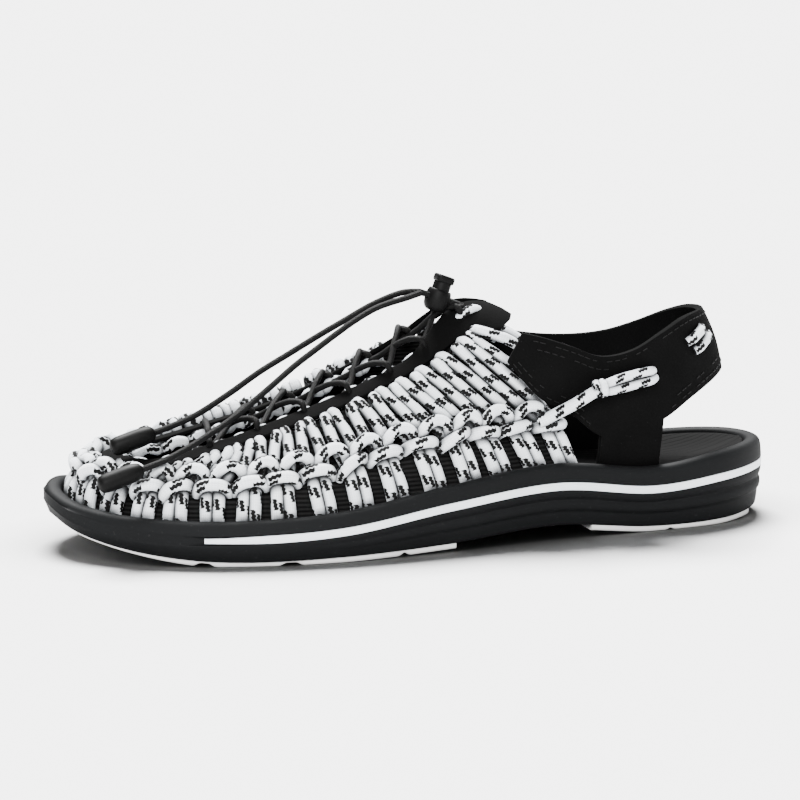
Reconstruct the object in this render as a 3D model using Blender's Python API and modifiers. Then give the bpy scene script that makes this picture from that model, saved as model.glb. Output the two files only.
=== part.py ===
"""A left woven cord sandal standing on its sole.

The toe points along -X and the outer (lateral) side faces -Y. The origin is on the floor,
under the middle of the sole. Sizes are written in millimetres and scaled by MM into metres.
"""

import math
from collections import namedtuple

import bmesh
import bpy
from mathutils import Matrix, Vector

MM = 0.001
GAP = 0.3

SOLE_LENGTH = 288.0
RIM_WIDTH = 6.6
CUP_INSET = 7.0
INSOLE_THICKNESS = 2.8
INSOLE_EDGE_DROP = 3.0
INSOLE_SEAT = 0.85
INSOLE_CHAMFER = 0.6
BOWL_POWER = 2.4
SLOT_WIDTH = 5.8
SLOT_END = 0.73
SLOT_FADE = 0.06
STRIPE_HALF = 1.6
STRIPE_DEPTH = 1.2
STRIPE_PROUD = 0.05
STRIPE_START_X = -97.0
STRIPE_RAMP = 6.0
STRIPE_TIP = 0.35
OUTSOLE_INSET = 2.6
OUTSOLE_THICKNESS = 2.3
OUTSOLE_WEB = 1.0
OUTSOLE_DRAFT = 0.5
GROOVE_SLOPE = 1.2

CORD_DIAMETER = 4.8
CORD_INSET = 9.9
CORD_SEAT = 5.5
BUNDLES_PER_SIDE = 15
REAR_BUNDLE_X = 46.0
BRAID_THICKNESS = 6.6
BRAID_HALF = 0.06

EYESTAY_THICKNESS = 1.6
EYESTAY_LIFT = 2.5
EYESTAY_OVERLAP = 0.012
EYESTAY_END = 0.745
EYESTAY_STEPS = 52
HEEL_STRAP_THICKNESS = 2.6

BUNGEE_DIAMETER = 2.4
BUNGEE_PITCH = 2.6
LACE_SHARE = 1.0
LACE_GAP = 0.5
TAIL_GAP = 1.0
LACE_ENTRY = 1.5
TIP_LENGTH = 18.0
TIP_RADIUS = 3.7

# The cord lock, in heights along its own axis from the middle of its cross hole.
LOCK_CENTRE = Vector((8.5, -2.8, 90.7))
LOCK_TILT = math.radians(20.0)
LOCK_TRAVEL = 2.5
LOCK_REACH = 6.4
LOCK_HOLE_HALF = 1.45
LOCK_HOLE_WIDTH = 5.7
LOCK_MOUTH = 3.3
LOCK_FOOT = -5.5
LOCK_BORE = 3.7
LOCK_STEM = 3.45
STEM_FOOT = -2.0
HEAD_HALF = 3.6
HEAD_THICKNESS = 2.9
HEAD_EDGE = 0.7
CUT_LENGTH = 30.0
LOCK_SEGMENTS = 16

RING_STEPS = 60
FINE_STEPS = 400
SLOPE_STEP = 0.004
CUP_COLUMNS = 4
CUP_LEAST_WIDTH = 12.0

# Ten equal stations run from the toe tip (0) to the heel (1). Lateral and medial are the sides of
# the outline, base is the underside of the black sole, stripe the middle of the white band, the
# rim columns its top edge and footbed the top of the insole on the middle line.
SoleRow = namedtuple("SoleRow", "lateral medial base stripe rim_lateral rim_medial footbed")
SOLE = [
    SoleRow(9.0, 9.0, 16.6, 20.1, 23.1, 23.1, 18.5),
    SoleRow(-13.0, 29.0, 8.9, 15.3, 19.9, 24.5, 16.5),
    SoleRow(-33.3, 42.5, 4.1, 11.1, 17.7, 21.0, 13.0),
    SoleRow(-47.2, 49.0, 1.9, 10.5, 17.3, 18.5, 12.0),
    SoleRow(-52.3, 47.5, 2.3, 12.2, 19.3, 20.0, 13.0),
    SoleRow(-47.5, 40.5, 3.4, 17.9, 25.5, 25.5, 18.0),
    SoleRow(-40.2, 33.3, 5.8, 21.3, 29.9, 29.9, 22.0),
    SoleRow(-37.0, 34.0, 2.3, 17.1, 25.8, 25.8, 20.5),
    SoleRow(-32.3, 30.5, 2.3, 19.4, 29.2, 28.3, 21.5),
    SoleRow(-18.5, 18.0, 3.6, 20.7, 30.3, 29.8, 23.5),
    SoleRow(0.0, 0.0, 4.9, 20.9, 30.2, 30.2, 25.5),
]

# The side of the sole from the floor up: how far each level lies inside the outline, and its
# height as a share of the lower wall, a step from the stripe's middle or a drop from the rim.
WallLevel = namedtuple("WallLevel", "inset kind height")
SOLE_WALL = [
    WallLevel(2.4, "wall", 0.0),
    WallLevel(1.8, "wall", 0.10),
    WallLevel(1.3, "wall", 0.40),
    WallLevel(0.5, "wall", 0.48),
    WallLevel(0.4, "wall", 0.66),
    WallLevel(1.3, "wall", 0.74),
    WallLevel(0.0, "stripe", -STRIPE_HALF),
    WallLevel(0.0, "groove", -STRIPE_HALF + 0.1),
    WallLevel(0.0, "groove", STRIPE_HALF - 0.1),
    WallLevel(0.0, "stripe", STRIPE_HALF),
    WallLevel(0.7, "rim", 1.8),
    WallLevel(2.2, "rim", 0.2),
    WallLevel(RIM_WIDTH, "rim", 0.7),
]

# Tread blocks along X, with a flex groove between neighbours.
FOREFOOT_LUGS = [(-141.0, -100.0), (-94.0, -73.0), (-66.0, -29.0), (-23.0, 2.0)]
HEEL_LUGS = [(60.0, 92.0), (96.0, 135.0)]
LUG_STEP = 9.0

# The last at the same stations, up to the ankle. The spine is the crest of the instep that each
# section rises to, and fullness is 2 for an elliptic section and more for a squarer one. The
# other columns are shares of the rise from the sole to the spine, for the twined band and for the
# two edges of the eyestay on each side.
LastRow = namedtuple(
    "LastRow",
    "spine_x spine_y spine_z fullness braid lateral_low lateral_high medial_low medial_high",
)
LAST = [
    LastRow(-106.0, 8.0, 33.0, 2.7, 0.49, 0.68, 0.82, 0.68, 0.82),
    LastRow(-103.5, 8.0, 33.7, 2.6, 0.47, 0.64, 0.78, 0.70, 0.84),
    LastRow(-95.0, 8.0, 36.0, 2.35, 0.39, 0.53, 0.66, 0.72, 0.90),
    LastRow(-75.5, 8.5, 41.8, 2.2, 0.35, 0.60, 0.72, 0.77, 0.96),
    LastRow(-51.5, 8.5, 48.8, 2.15, 0.35, 0.68, 0.80, 0.79, 0.98),
    LastRow(-27.5, 7.5, 59.5, 2.1, 0.335, 0.68, 0.79, 0.79, 0.98),
    LastRow(-6.0, 6.0, 71.0, 2.05, 0.275, 0.685, 0.79, 0.79, 0.98),
    LastRow(17.0, 5.0, 85.0, 2.0, 0.25, 0.71, 0.86, 0.79, 0.98),
    LastRow(36.0, 4.0, 83.0, 2.0, 0.25, 0.72, 0.90, 0.79, 0.98),
]

# Rows of the woven wall from the sole up. Height mixes the band's share and the eyestay's lower
# edge, half is half a bundle's width in pitches, ridge and edge are wall thicknesses, and filled
# says whether the space to the next bundle is closed above this row.
WeaveRow = namedtuple("WeaveRow", "braid_part strap_part step half ridge edge filled")
WEAVE = [
    WeaveRow(0.0, 0.0, 0.0, 0.37, CORD_DIAMETER, 2.4, False),
    WeaveRow(1.0, 0.0, -BRAID_HALF, 0.37, CORD_DIAMETER, 2.6, True),
    WeaveRow(1.0, 0.0, 0.0, 0.37, BRAID_THICKNESS, 5.4, True),
    WeaveRow(1.0, 0.0, BRAID_HALF, 0.38, CORD_DIAMETER, 2.6, False),
    WeaveRow(0.35, 0.65, -0.01, 0.46, CORD_DIAMETER, 2.4, True),
    WeaveRow(0.0, 1.0, -0.04, 0.47, CORD_DIAMETER, 2.4, True),
    WeaveRow(0.0, 1.0, 0.025, 0.47, 2.4, 2.2, True),
]
BUNDLE_COLUMNS = [(-1.0, False), (-0.5, True), (0.0, False), (0.5, True), (1.0, False)]

# Half of the heel strap from its front end to the middle of the back: place, lower edge, upper
# edge on each side, and how far the upper edge leans forward.
StrapRow = namedtuple("StrapRow", "x side low high_lateral high_medial lean")
HEEL_STRAP = [
    StrapRow(29.0, 25.0, 68.0, 78.0, 77.0, 0.0),
    StrapRow(41.0, 28.5, 54.0, 75.0, 73.5, 0.0),
    StrapRow(53.0, 30.4, 47.5, 71.5, 71.0, 0.0),
    StrapRow(65.0, 31.0, 38.5, 67.0, 69.3, 0.0),
    StrapRow(78.0, 30.8, 39.5, 71.5, 68.8, 0.0),
    StrapRow(91.0, 30.2, 43.5, 76.5, 69.8, 1.0),
    StrapRow(103.0, 26.5, 49.5, 80.5, 73.0, 3.0),
    StrapRow(116.0, 18.0, 53.5, 82.5, 78.0, 6.5),
    StrapRow(123.5, 9.0, 55.0, 82.5, 81.0, 8.5),
    StrapRow(126.0, 0.0, 55.5, 82.0, 82.0, 9.0),
]
MEDIAL_NARROWING = 0.9
LEG_FRONT_ROW = 3
LEG_BACK_ROW = 5
STRAP_STEPS = 2
STRAP_BANDS = 2
LEG_BANDS = 2

# Free routes, in order from the object outwards.
HEEL_CORD_ROUTE = [
    (45.0, -34.6, 48.5), (52.0, -35.8, 52.0), (59.0, -36.6, 56.0), (66.0, -37.4, 59.0),
]
HEEL_CORD_LEGS = [
    [(66.0, -37.2, 60.0), (73.0, -35.6, 63.3), (80.0, -35.1, 64.7), (87.0, -34.7, 65.1)],
    [(66.0, -37.2, 58.5), (73.0, -35.6, 58.5), (80.0, -35.1, 59.9), (87.0, -34.7, 60.9)],
]
MEDIAL_SHIFT = -3.1
KNOT_RADIUS = 4.6
BACK_CORD_SPAN = 2.3
BACK_CORD_STEPS = 4
BACK_CORD_HEIGHT = 73.5
BACK_CORD_HALF = 2.8

LACE_ROWS = [0.28, 0.35, 0.415, 0.48, 0.55, 0.62, 0.72]
TAIL_UPPER_ROUTE = [
    (-5.9, -0.6, 92.9), (-17.0, 0.0, 88.9), (-28.5, -0.6, 83.3), (-39.9, -1.2, 77.6),
    (-51.3, -1.8, 71.6), (-62.7, -2.4, 65.6), (-74.6, -3.0, 58.2), (-87.3, -3.5, 51.0),
    (-96.0, -3.7, 47.5), (-104.7, -3.9, 44.8),
]
TAIL_LOWER_ROUTE = [
    (-3.9, -3.3, 91.4), (-15.7, -4.6, 88.6), (-24.5, -5.5, 84.6), (-33.3, -7.0, 79.6),
    (-42.2, -8.5, 74.1), (-51.0, -10.0, 68.6), (-59.0, -11.8, 63.0), (-66.0, -13.5, 58.2),
    (-73.6, -15.6, 53.2), (-81.3, -17.7, 48.9), (-89.4, -20.0, 44.9), (-97.4, -22.0, 41.2),
    (-106.0, -23.4, 37.7), (-114.6, -23.9, 35.0),
]


def clear_scene():
    for stale in list(bpy.data.objects):
        bpy.data.objects.remove(stale)


def blend_four(before, start, end, after, share):
    """Smooth value between start and end, with the slopes of the neighbouring values."""
    line = (end - before) * share
    square = (before * 2.0 - start * 5.0 + end * 4.0 - after) * share ** 2
    cube = (start * 3.0 - before - end * 3.0 + after) * share ** 3
    return start + (line + square + cube) * 0.5


def along(values, place):
    """Value of an open row of equal stations at a place from 0 to 1."""
    last = len(values) - 1
    spot = min(max(place, 0.0), 1.0) * last
    index = min(int(spot), last - 1)
    before = values[max(index - 1, 0)]
    after = values[min(index + 2, last)]
    return blend_four(before, values[index], values[index + 1], after, spot - index)


def around(values, place):
    """Value of a closed row of equal stations at a place that counts whole turns."""
    count = len(values)
    spot = (place % 1.0) * count
    index = int(spot)
    picked = [values[(index + step) % count] for step in (-1, 0, 1, 2)]
    return blend_four(*picked, spot - index)


def closed_column(lateral, medial):
    """One loop from the toe along the lateral side to the heel and back along the medial side."""
    first = [getattr(row, lateral) for row in SOLE]
    second = [getattr(row, medial) for row in SOLE]
    return first + second[-2:0:-1]


OUTLINE_SIDE = closed_column("lateral", "medial")
RIM_HEIGHT = closed_column("rim_lateral", "rim_medial")
STRIPE_HEIGHT = closed_column("stripe", "stripe")


def station_at(x):
    """Station from the toe (0) to the heel (1) at a place along the sole."""
    return math.acos(min(max(-2.0 * x / SOLE_LENGTH, -1.0), 1.0)) / math.pi


def outline(turn):
    """Point of the sole's outline, a quarter turn being the lateral middle of the foot."""
    return Vector((-0.5 * SOLE_LENGTH * math.cos(2.0 * math.pi * turn), around(OUTLINE_SIDE, turn)))


def inward(turn):
    run = (outline(turn + SLOPE_STEP) - outline(turn - SLOPE_STEP)).normalized()
    return Vector((-run.y, run.x))


def inset(turn, distance):
    return outline(turn) + inward(turn) * distance


def sole_base(x):
    return along([row.base for row in SOLE], station_at(x))


def rim_top(turn):
    return around(RIM_HEIGHT, turn)


def stripe_middle(turn):
    """Middle of the white band; on the medial side it follows the rim's difference."""
    lateral_turn = min(turn % 1.0, 1.0 - turn % 1.0)
    return around(STRIPE_HEIGHT, turn) + 0.6 * (rim_top(turn) - rim_top(lateral_turn))


def ease(low, high, value):
    share = min(max((value - low) / (high - low), 0.0), 1.0)
    return share * share * (3.0 - 2.0 * share)


SIDES = [outline(step / FINE_STEPS).y for step in range(FINE_STEPS)]
MIDDLE_Y = 0.5 * (min(SIDES) + max(SIDES))


def placed(point):
    """Model point in metres, with the sole's width centred on the origin."""
    return Vector((point[0], point[1] - MIDDLE_Y, point[2])) * MM


def material(name, colour, roughness):
    made = bpy.data.materials.new(name)
    made.use_nodes = True
    shader = made.node_tree.nodes["Principled BSDF"]
    shader.inputs["Base Color"].default_value = (*colour, 1.0)
    shader.inputs["Roughness"].default_value = roughness
    shader.inputs["Metallic"].default_value = 0.0
    return made


def add_object(name, data, collection, finish=None):
    made = bpy.data.objects.new(name, data)
    collection.objects.link(made)
    if finish:
        data.materials.append(finish)
    return made


def mesh_from(bm, name):
    bmesh.ops.recalc_face_normals(bm, faces=bm.faces)
    mesh = bpy.data.meshes.new(name)
    bm.to_mesh(mesh)
    bm.free()
    mesh.shade_smooth()
    mesh.set_sharp_from_angle(angle=math.radians(40.0))
    return mesh


def loft_loops(bm, loops):
    """Closed loops of points joined in order; returns the loops as vertices."""
    rows = [[bm.verts.new(placed(point)) for point in loop] for loop in loops]
    for low, high in zip(rows, rows[1:]):
        for index in range(len(low)):
            follow = (index + 1) % len(low)
            bm.faces.new((low[index], low[follow], high[follow], high[index]))
    return rows


def cap_across(bm, ring, columns, height):
    """Close a ring with rows that run from its lateral to its medial half."""
    half = len(ring) // 2
    rows = []
    for index in range(1, half):
        start = ring[index]
        end = ring[-index]
        row = [start]
        for column in range(1, columns):
            share = column / columns
            flat = start.co.lerp(end.co, share)
            flat.z = height(flat.x / MM, share) * MM
            row.append(bm.verts.new(flat))
        rows.append(row + [end])
    for column in range(columns):
        bm.faces.new((ring[0], rows[0][column], rows[0][column + 1]))
        bm.faces.new((ring[half], rows[-1][column + 1], rows[-1][column]))
    for low, high in zip(rows, rows[1:]):
        for column in range(columns):
            bm.faces.new((low[column], high[column], high[column + 1], low[column + 1]))


RING_TURNS = [step / RING_STEPS for step in range(RING_STEPS)]


def bowl(share):
    """Rise of the cupped footbed at a share of its width, straight between the cup's columns."""
    spot = share * CUP_COLUMNS
    column = min(int(spot), CUP_COLUMNS - 1)
    low, high = [abs(2.0 * (column + step) / CUP_COLUMNS - 1.0) ** BOWL_POWER for step in (0, 1)]
    return low + (high - low) * (spot - column)


def footbed_height(x, share):
    """Top of the insole at a place along the foot and a share of its width from the lateral side."""
    station = station_at(x)
    middle = along([row.footbed for row in SOLE], station)
    turn = 0.5 * station if share < 0.5 else 1.0 - 0.5 * station
    edge = rim_top(turn) - INSOLE_EDGE_DROP
    return middle + (edge - middle) * bowl(share)


def groove_depth(turn):
    return STRIPE_DEPTH * ease(STRIPE_START_X - STRIPE_RAMP, STRIPE_START_X, outline(turn).x)


def wall_point(turn, level):
    """Point of the sole's side at one level of its profile."""
    depth = level.inset
    if level.kind == "groove":
        depth += groove_depth(turn)
    flat = inset(turn, depth)
    middle = stripe_middle(turn)
    base = sole_base(flat.x)
    if level.kind == "rim":
        height = rim_top(turn) - level.height
    elif level.kind == "wall":
        height = base + level.height * (middle - STRIPE_HALF - base)
    else:
        height = middle + level.height
    return Vector((flat.x, flat.y, height))


def cup_floor(x, share):
    return footbed_height(x, share) - INSOLE_THICKNESS - INSOLE_SEAT


def build_midsole(collection):
    bm = bmesh.new()
    loops = [[wall_point(turn, level) for turn in RING_TURNS] for level in SOLE_WALL]
    floor = []
    for turn in RING_TURNS:
        flat = inset(turn, CUP_INSET)
        drop = INSOLE_EDGE_DROP + INSOLE_THICKNESS + INSOLE_SEAT
        floor.append((flat.x, flat.y, rim_top(turn) - drop))
    rows = loft_loops(bm, loops + [floor])
    cap_across(bm, rows[-1], CUP_COLUMNS, cup_floor)
    cap_across(bm, rows[0], 2, lambda x, share: sole_base(x))
    finish = material("black_eva", (0.018, 0.018, 0.020), 0.55)
    return add_object("midsole", mesh_from(bm, "midsole"), collection, finish)


def insole_inset(turn):
    """The insole leaves a slot for the cords and strap legs and fills the cup behind them."""
    station = 2.0 * min(turn % 1.0, 1.0 - turn % 1.0)
    front = 1.0 - ease(SLOT_END, SLOT_END + SLOT_FADE, station)
    return CUP_INSET + GAP + (SLOT_WIDTH - GAP) * front


def build_insole(collection):
    bm = bmesh.new()
    loops = []
    for rise, extra in ((-INSOLE_THICKNESS, 0.0), (-INSOLE_CHAMFER, 0.0), (0.0, INSOLE_CHAMFER)):
        loop = []
        for turn in RING_TURNS:
            flat = inset(turn, insole_inset(turn) + extra)
            share = insole_share(turn, insole_inset(turn) + extra)
            loop.append((flat.x, flat.y, footbed_height(flat.x, share) + rise))
        loops.append(loop)
    rows = loft_loops(bm, loops)
    cap_across(bm, rows[-1], CUP_COLUMNS, lambda x, share: footbed_height(x, inner_share(x, share)))
    cap_across(bm, rows[0], CUP_COLUMNS,
               lambda x, share: footbed_height(x, inner_share(x, share)) - INSOLE_THICKNESS)
    finish = material("black_footbed", (0.022, 0.022, 0.024), 0.75)
    return add_object("insole", mesh_from(bm, "insole"), collection, finish)


def cup_width(x):
    """Width of the cup's floor at a place along the foot."""
    station = station_at(x)
    span = outline(1.0 - 0.5 * station).y - outline(0.5 * station).y
    return max(span - 2.0 * CUP_INSET, CUP_LEAST_WIDTH)


def insole_share(turn, distance):
    """Share of the cup's width at which a point inset from the outline lies."""
    share = min((distance - CUP_INSET) / cup_width(outline(turn).x), 0.5)
    return share if turn % 1.0 < 0.5 else 1.0 - share


def inner_share(x, share):
    """Share of the cup's width for a share of the insole's own width."""
    station = station_at(x)
    margin = min((insole_inset(0.5 * station) - CUP_INSET) / cup_width(x), 0.4)
    return margin + share * (1.0 - 2.0 * margin)


def build_side_stripe(collection):
    """White inlay from the lateral ball round the heel to the medial ball, flush with the wall."""
    bm = bmesh.new()
    turns = [turn for turn in RING_TURNS if outline(turn).x > STRIPE_START_X]
    sections = []
    for index, turn in enumerate(turns):
        from_end = min(index, len(turns) - 1 - index)
        taper = STRIPE_TIP + (1.0 - STRIPE_TIP) * ease(0.0, 2.0, from_end)
        half = (STRIPE_HALF - GAP) * taper
        outer = inset(turn, STRIPE_PROUD)
        inner = inset(turn, STRIPE_DEPTH - GAP)
        middle = stripe_middle(turn)
        sections.append([
            (outer.x, outer.y, middle - half), (outer.x, outer.y, middle + half),
            (inner.x, inner.y, middle + half), (inner.x, inner.y, middle - half),
        ])
    rows = loft_loops(bm, sections)
    bm.faces.new(rows[0])
    bm.faces.new(rows[-1])
    finish = material("white_stripe", (0.80, 0.80, 0.80), 0.5)
    return add_object("side_stripe", mesh_from(bm, "side_stripe"), collection, finish)


def tread_stations(lugs):
    """Places along the tread with the underside of each: blocks on the floor, webs between them."""
    stations = []
    for index, (front, back) in enumerate(lugs):
        steps = max(2, round((back - front) / LUG_STEP))
        if index:
            stations.append((front - GROOVE_SLOPE, True))
        for step in range(steps + 1):
            stations.append((front + (back - front) * step / steps, False))
        if index < len(lugs) - 1:
            stations.append((back + GROOVE_SLOPE, True))
    return stations


def build_tread(name, lugs, collection, finish):
    bm = bmesh.new()
    sections = []
    for x, is_web in tread_stations(lugs):
        station = station_at(x)
        lateral = inset(0.5 * station, OUTSOLE_INSET)
        medial = inset(1.0 - 0.5 * station, OUTSOLE_INSET)
        section = []
        for side, lean in ((lateral, 1.0), (medial, -1.0)):
            top = sole_base(side.x) - GAP
            under = max(0.0, sole_base(side.x) - OUTSOLE_THICKNESS)
            if is_web:
                under = top - OUTSOLE_WEB
            section.append([(side.x, side.y, top), (side.x, side.y + OUTSOLE_DRAFT * lean, under)])
        sections.append([section[0][0], section[1][0], section[1][1], section[0][1]])
    rows = loft_loops(bm, sections)
    bm.faces.new(rows[0])
    bm.faces.new(rows[-1])
    return add_object(name, mesh_from(bm, name), collection, finish)


def last_value(column, place):
    """Value of the last's table at a signed station: lateral side negative, toe tip 0."""
    span = 0.1 * (len(LAST) - 1)
    lateral, medial = (column, column) if isinstance(column, str) else column
    values = [getattr(row, lateral) for row in LAST[:0:-1]] + [getattr(row, medial) for row in LAST]
    return along(values, 0.5 + 0.5 * place / span)


LOW_EDGE = ("lateral_low", "medial_low")
HIGH_EDGE = ("lateral_high", "medial_high")


def last_point(place, rise):
    """Point of the last at a signed station and a share of the rise from the sole to the spine."""
    turn = -0.5 * place
    foot = inset(turn, CORD_INSET)
    foot_z = rim_top(turn) - CORD_SEAT
    spine = Vector((last_value("spine_x", place), last_value("spine_y", place)))
    normal = inward(turn)
    tangent = Vector((normal.y, -normal.x))
    reach = spine - foot
    angle = 0.5 * math.pi * rise
    power = 2.0 / last_value("fullness", place)
    across = 1.0 - abs(math.cos(angle)) ** power
    upward = abs(math.sin(angle)) ** power
    flat = foot + normal * (reach.dot(normal) * across)
    flat += tangent * (reach.dot(tangent) * upward)
    height = foot_z + (last_value("spine_z", place) - foot_z) * upward
    return Vector((flat.x, flat.y, height))


def last_normal(place, rise):
    along_foot = last_point(place + SLOPE_STEP, rise) - last_point(place - SLOPE_STEP, rise)
    upward = last_point(place, rise + SLOPE_STEP) - last_point(place, rise - SLOPE_STEP)
    return upward.cross(along_foot).normalized()


def off_last(place, rise, lift):
    """Point at a height over the last's surface."""
    return last_point(place, rise) + last_normal(place, rise) * lift


def bundle_places():
    """Signed stations of the cord bundles, evenly spaced along the edge of the sole."""
    places = []
    for sign in (-1.0, 1.0):
        rear = sign * station_at(REAR_BUNDLE_X)
        fine = [rear * step / FINE_STEPS for step in range(FINE_STEPS + 1)]
        points = [inset(-0.5 * place, CORD_INSET) for place in fine]
        runs = [0.0]
        for first, second in zip(points, points[1:]):
            runs.append(runs[-1] + (second - first).length)
        for bundle in range(1, BUNDLES_PER_SIDE + 1):
            target = runs[-1] * bundle / BUNDLES_PER_SIDE
            places.append(next(place for place, run in zip(fine, runs) if run >= target - 1e-6))
    return sorted(places + [0.0])


def weave_rise(row, place):
    braid = last_value("braid", place)
    strap = last_value(LOW_EDGE, place)
    return max(0.0, row.braid_part * braid + row.strap_part * strap + row.step)


def build_cord_upper(collection):
    """One woven wall: paired cords as ridges, open between the bundles and inside the loops."""
    places = bundle_places()
    columns = []
    for index, place in enumerate(places):
        behind = places[max(index - 1, 0)]
        ahead = places[min(index + 1, len(places) - 1)]
        pitch = (ahead - behind) / (min(index + 1, len(places) - 1) - max(index - 1, 0))
        for share, is_ridge in BUNDLE_COLUMNS:
            columns.append((place, pitch, share, is_ridge))
    bm = bmesh.new()
    thickness = bm.verts.layers.deform.verify()
    bmesh.ops.create_grid(bm, x_segments=len(columns) - 1, y_segments=len(WEAVE) - 1, size=0.5)
    spots = {}
    for vertex in bm.verts:
        column = round((vertex.co.x + 0.5) * (len(columns) - 1))
        level = round((vertex.co.y + 0.5) * (len(WEAVE) - 1))
        spots[vertex] = (column, level)
    for vertex, (column, level) in spots.items():
        place, pitch, share, is_ridge = columns[column]
        row = WEAVE[level]
        spot = place + pitch * row.half * share
        vertex.co = placed(last_point(spot, weave_rise(row, spot)))
        wall = row.ridge if is_ridge else row.edge
        vertex[thickness][0] = wall / BRAID_THICKNESS
    openings = []
    for face in bm.faces:
        first_column = min(spots[vertex][0] for vertex in face.verts)
        low_level = min(spots[vertex][1] for vertex in face.verts)
        between = first_column % len(BUNDLE_COLUMNS) == len(BUNDLE_COLUMNS) - 1
        if between and not WEAVE[low_level].filled:
            openings.append(face)
    bmesh.ops.delete(bm, geom=openings, context="FACES")
    upper = add_object("cord_upper", mesh_from(bm, "cord_upper"), collection,
                       material("white_cord", (0.78, 0.78, 0.77), 0.8))
    upper.vertex_groups.new(name="wall")
    shell = upper.modifiers.new("Wall", "SOLIDIFY")
    shell.thickness = BRAID_THICKNESS * MM
    shell.offset = 0.0
    shell.vertex_group = "wall"
    return upper


def sheet_object(name, rows, thickness, collection, finish, keep=None):
    """A solid strip: rows of points in a grid, less the faces that keep refuses."""
    bm = bmesh.new()
    grid = [[bm.verts.new(placed(point)) for point in row] for row in rows]
    for level, (low, high) in enumerate(zip(grid, grid[1:])):
        for column in range(len(low) - 1):
            if keep is None or keep(column, level):
                bm.faces.new((low[column], low[column + 1], high[column + 1], high[column]))
    loose = [vertex for vertex in bm.verts if not vertex.link_faces]
    bmesh.ops.delete(bm, geom=loose, context="VERTS")
    made = add_object(name, mesh_from(bm, name), collection, finish)
    shell = made.modifiers.new("Wall", "SOLIDIFY")
    shell.thickness = thickness * MM
    shell.offset = 0.0
    return made


def eyestay_point(place, share, lift):
    """Point over the eyestay at a share of its width from the outer to the throat edge."""
    low = last_value(LOW_EDGE, place) + EYESTAY_OVERLAP
    high = last_value(HIGH_EDGE, place)
    return off_last(place, low + (high - low) * share, lift)


def build_eyestay(collection, finish):
    steps = EYESTAY_STEPS
    places = [EYESTAY_END * (2.0 * step / steps - 1.0) for step in range(steps + 1)]
    rows = []
    for share in (0.0, 0.5, 1.0):
        rows.append([eyestay_point(place, share, EYESTAY_LIFT) for place in places])
    return sheet_object("eyestay", rows, EYESTAY_THICKNESS, collection, finish)


def strap_value(column, spot):
    return along([getattr(row, column) for row in HEEL_STRAP], spot / (len(HEEL_STRAP) - 1))


def strap_edges(spot, side):
    return strap_value("low", spot), strap_value("high_medial" if side > 0.0 else "high_lateral", spot)


def strap_point(spot, rise, side):
    """Point of the heel strap's middle layer; rise runs from its lower to its upper edge."""
    low, high = strap_edges(spot, side)
    x = strap_value("x", spot) - strap_value("lean", spot) * rise
    y = side * strap_value("side", spot)
    if side > 0.0:
        y *= MEDIAL_NARROWING
    return Vector((x, y, low + (high - low) * rise))


def strap_outward(spot, rise, side):
    """Outward normal of the heel strap."""
    along_strap = strap_point(spot + SLOPE_STEP, rise, side) - strap_point(spot - SLOPE_STEP, rise, side)
    upward = strap_point(spot, rise + SLOPE_STEP, side) - strap_point(spot, rise - SLOPE_STEP, side)
    return along_strap.cross(upward).normalized() * -side


def leg_foot(spot, side):
    """Foot of a strap leg in the slot beside the insole."""
    x = strap_value("x", spot)
    turn = 0.5 * station_at(x)
    if side > 0.0:
        turn = 1.0 - turn
    flat = inset(turn, CORD_INSET)
    return Vector((flat.x, flat.y, rim_top(turn) - CORD_SEAT))


def build_heel_strap(collection, finish):
    spots = [step / STRAP_STEPS for step in range((len(HEEL_STRAP) - 1) * STRAP_STEPS + 1)]
    halves = [(spot, -1.0) for spot in spots] + [(spot, 1.0) for spot in spots[-2::-1]]
    rows = []
    for band in range(LEG_BANDS):
        share = band / LEG_BANDS
        row = []
        for spot, side in halves:
            row.append(leg_foot(spot, side).lerp(strap_point(spot, 0.0, side), share))
        rows.append(row)
    for band in range(STRAP_BANDS + 1):
        rows.append([strap_point(spot, band / STRAP_BANDS, side) for spot, side in halves])

    def keep(column, level):
        if level >= LEG_BANDS:
            return True
        middle = 0.5 * (halves[column][0] + halves[column + 1][0])
        return LEG_FRONT_ROW < middle < LEG_BACK_ROW

    return sheet_object("heel_strap", rows, HEEL_STRAP_THICKNESS, collection, finish, keep)


def smooth_route(points, spacing):
    """Points about spacing apart on a smooth curve through a route's own points."""
    route = [Vector(point) for point in points]
    fine = [along(route, step / FINE_STEPS) for step in range(FINE_STEPS + 1)]
    runs = [0.0]
    for first, second in zip(fine, fine[1:]):
        runs.append(runs[-1] + (second - first).length)
    count = max(2, round(runs[-1] / spacing))
    picked = []
    for step in range(count + 1):
        target = runs[-1] * step / count
        index = next((place for place, run in enumerate(runs) if run >= target), FINE_STEPS)
        picked.append(fine[index])
    return picked


def tube_curve(name, points, diameter, is_closed=False):
    curve = bpy.data.curves.new(name, "CURVE")
    curve.dimensions = "3D"
    curve.bevel_depth = 0.5 * diameter * MM
    curve.bevel_resolution = 2
    curve.use_fill_caps = True
    spline = curve.splines.new("POLY")
    spline.points.add(len(points) - 1)
    for spot, point in zip(spline.points, points):
        spot.co = (*placed(point), 1.0)
    spline.use_cyclic_u = is_closed
    return curve


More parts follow.
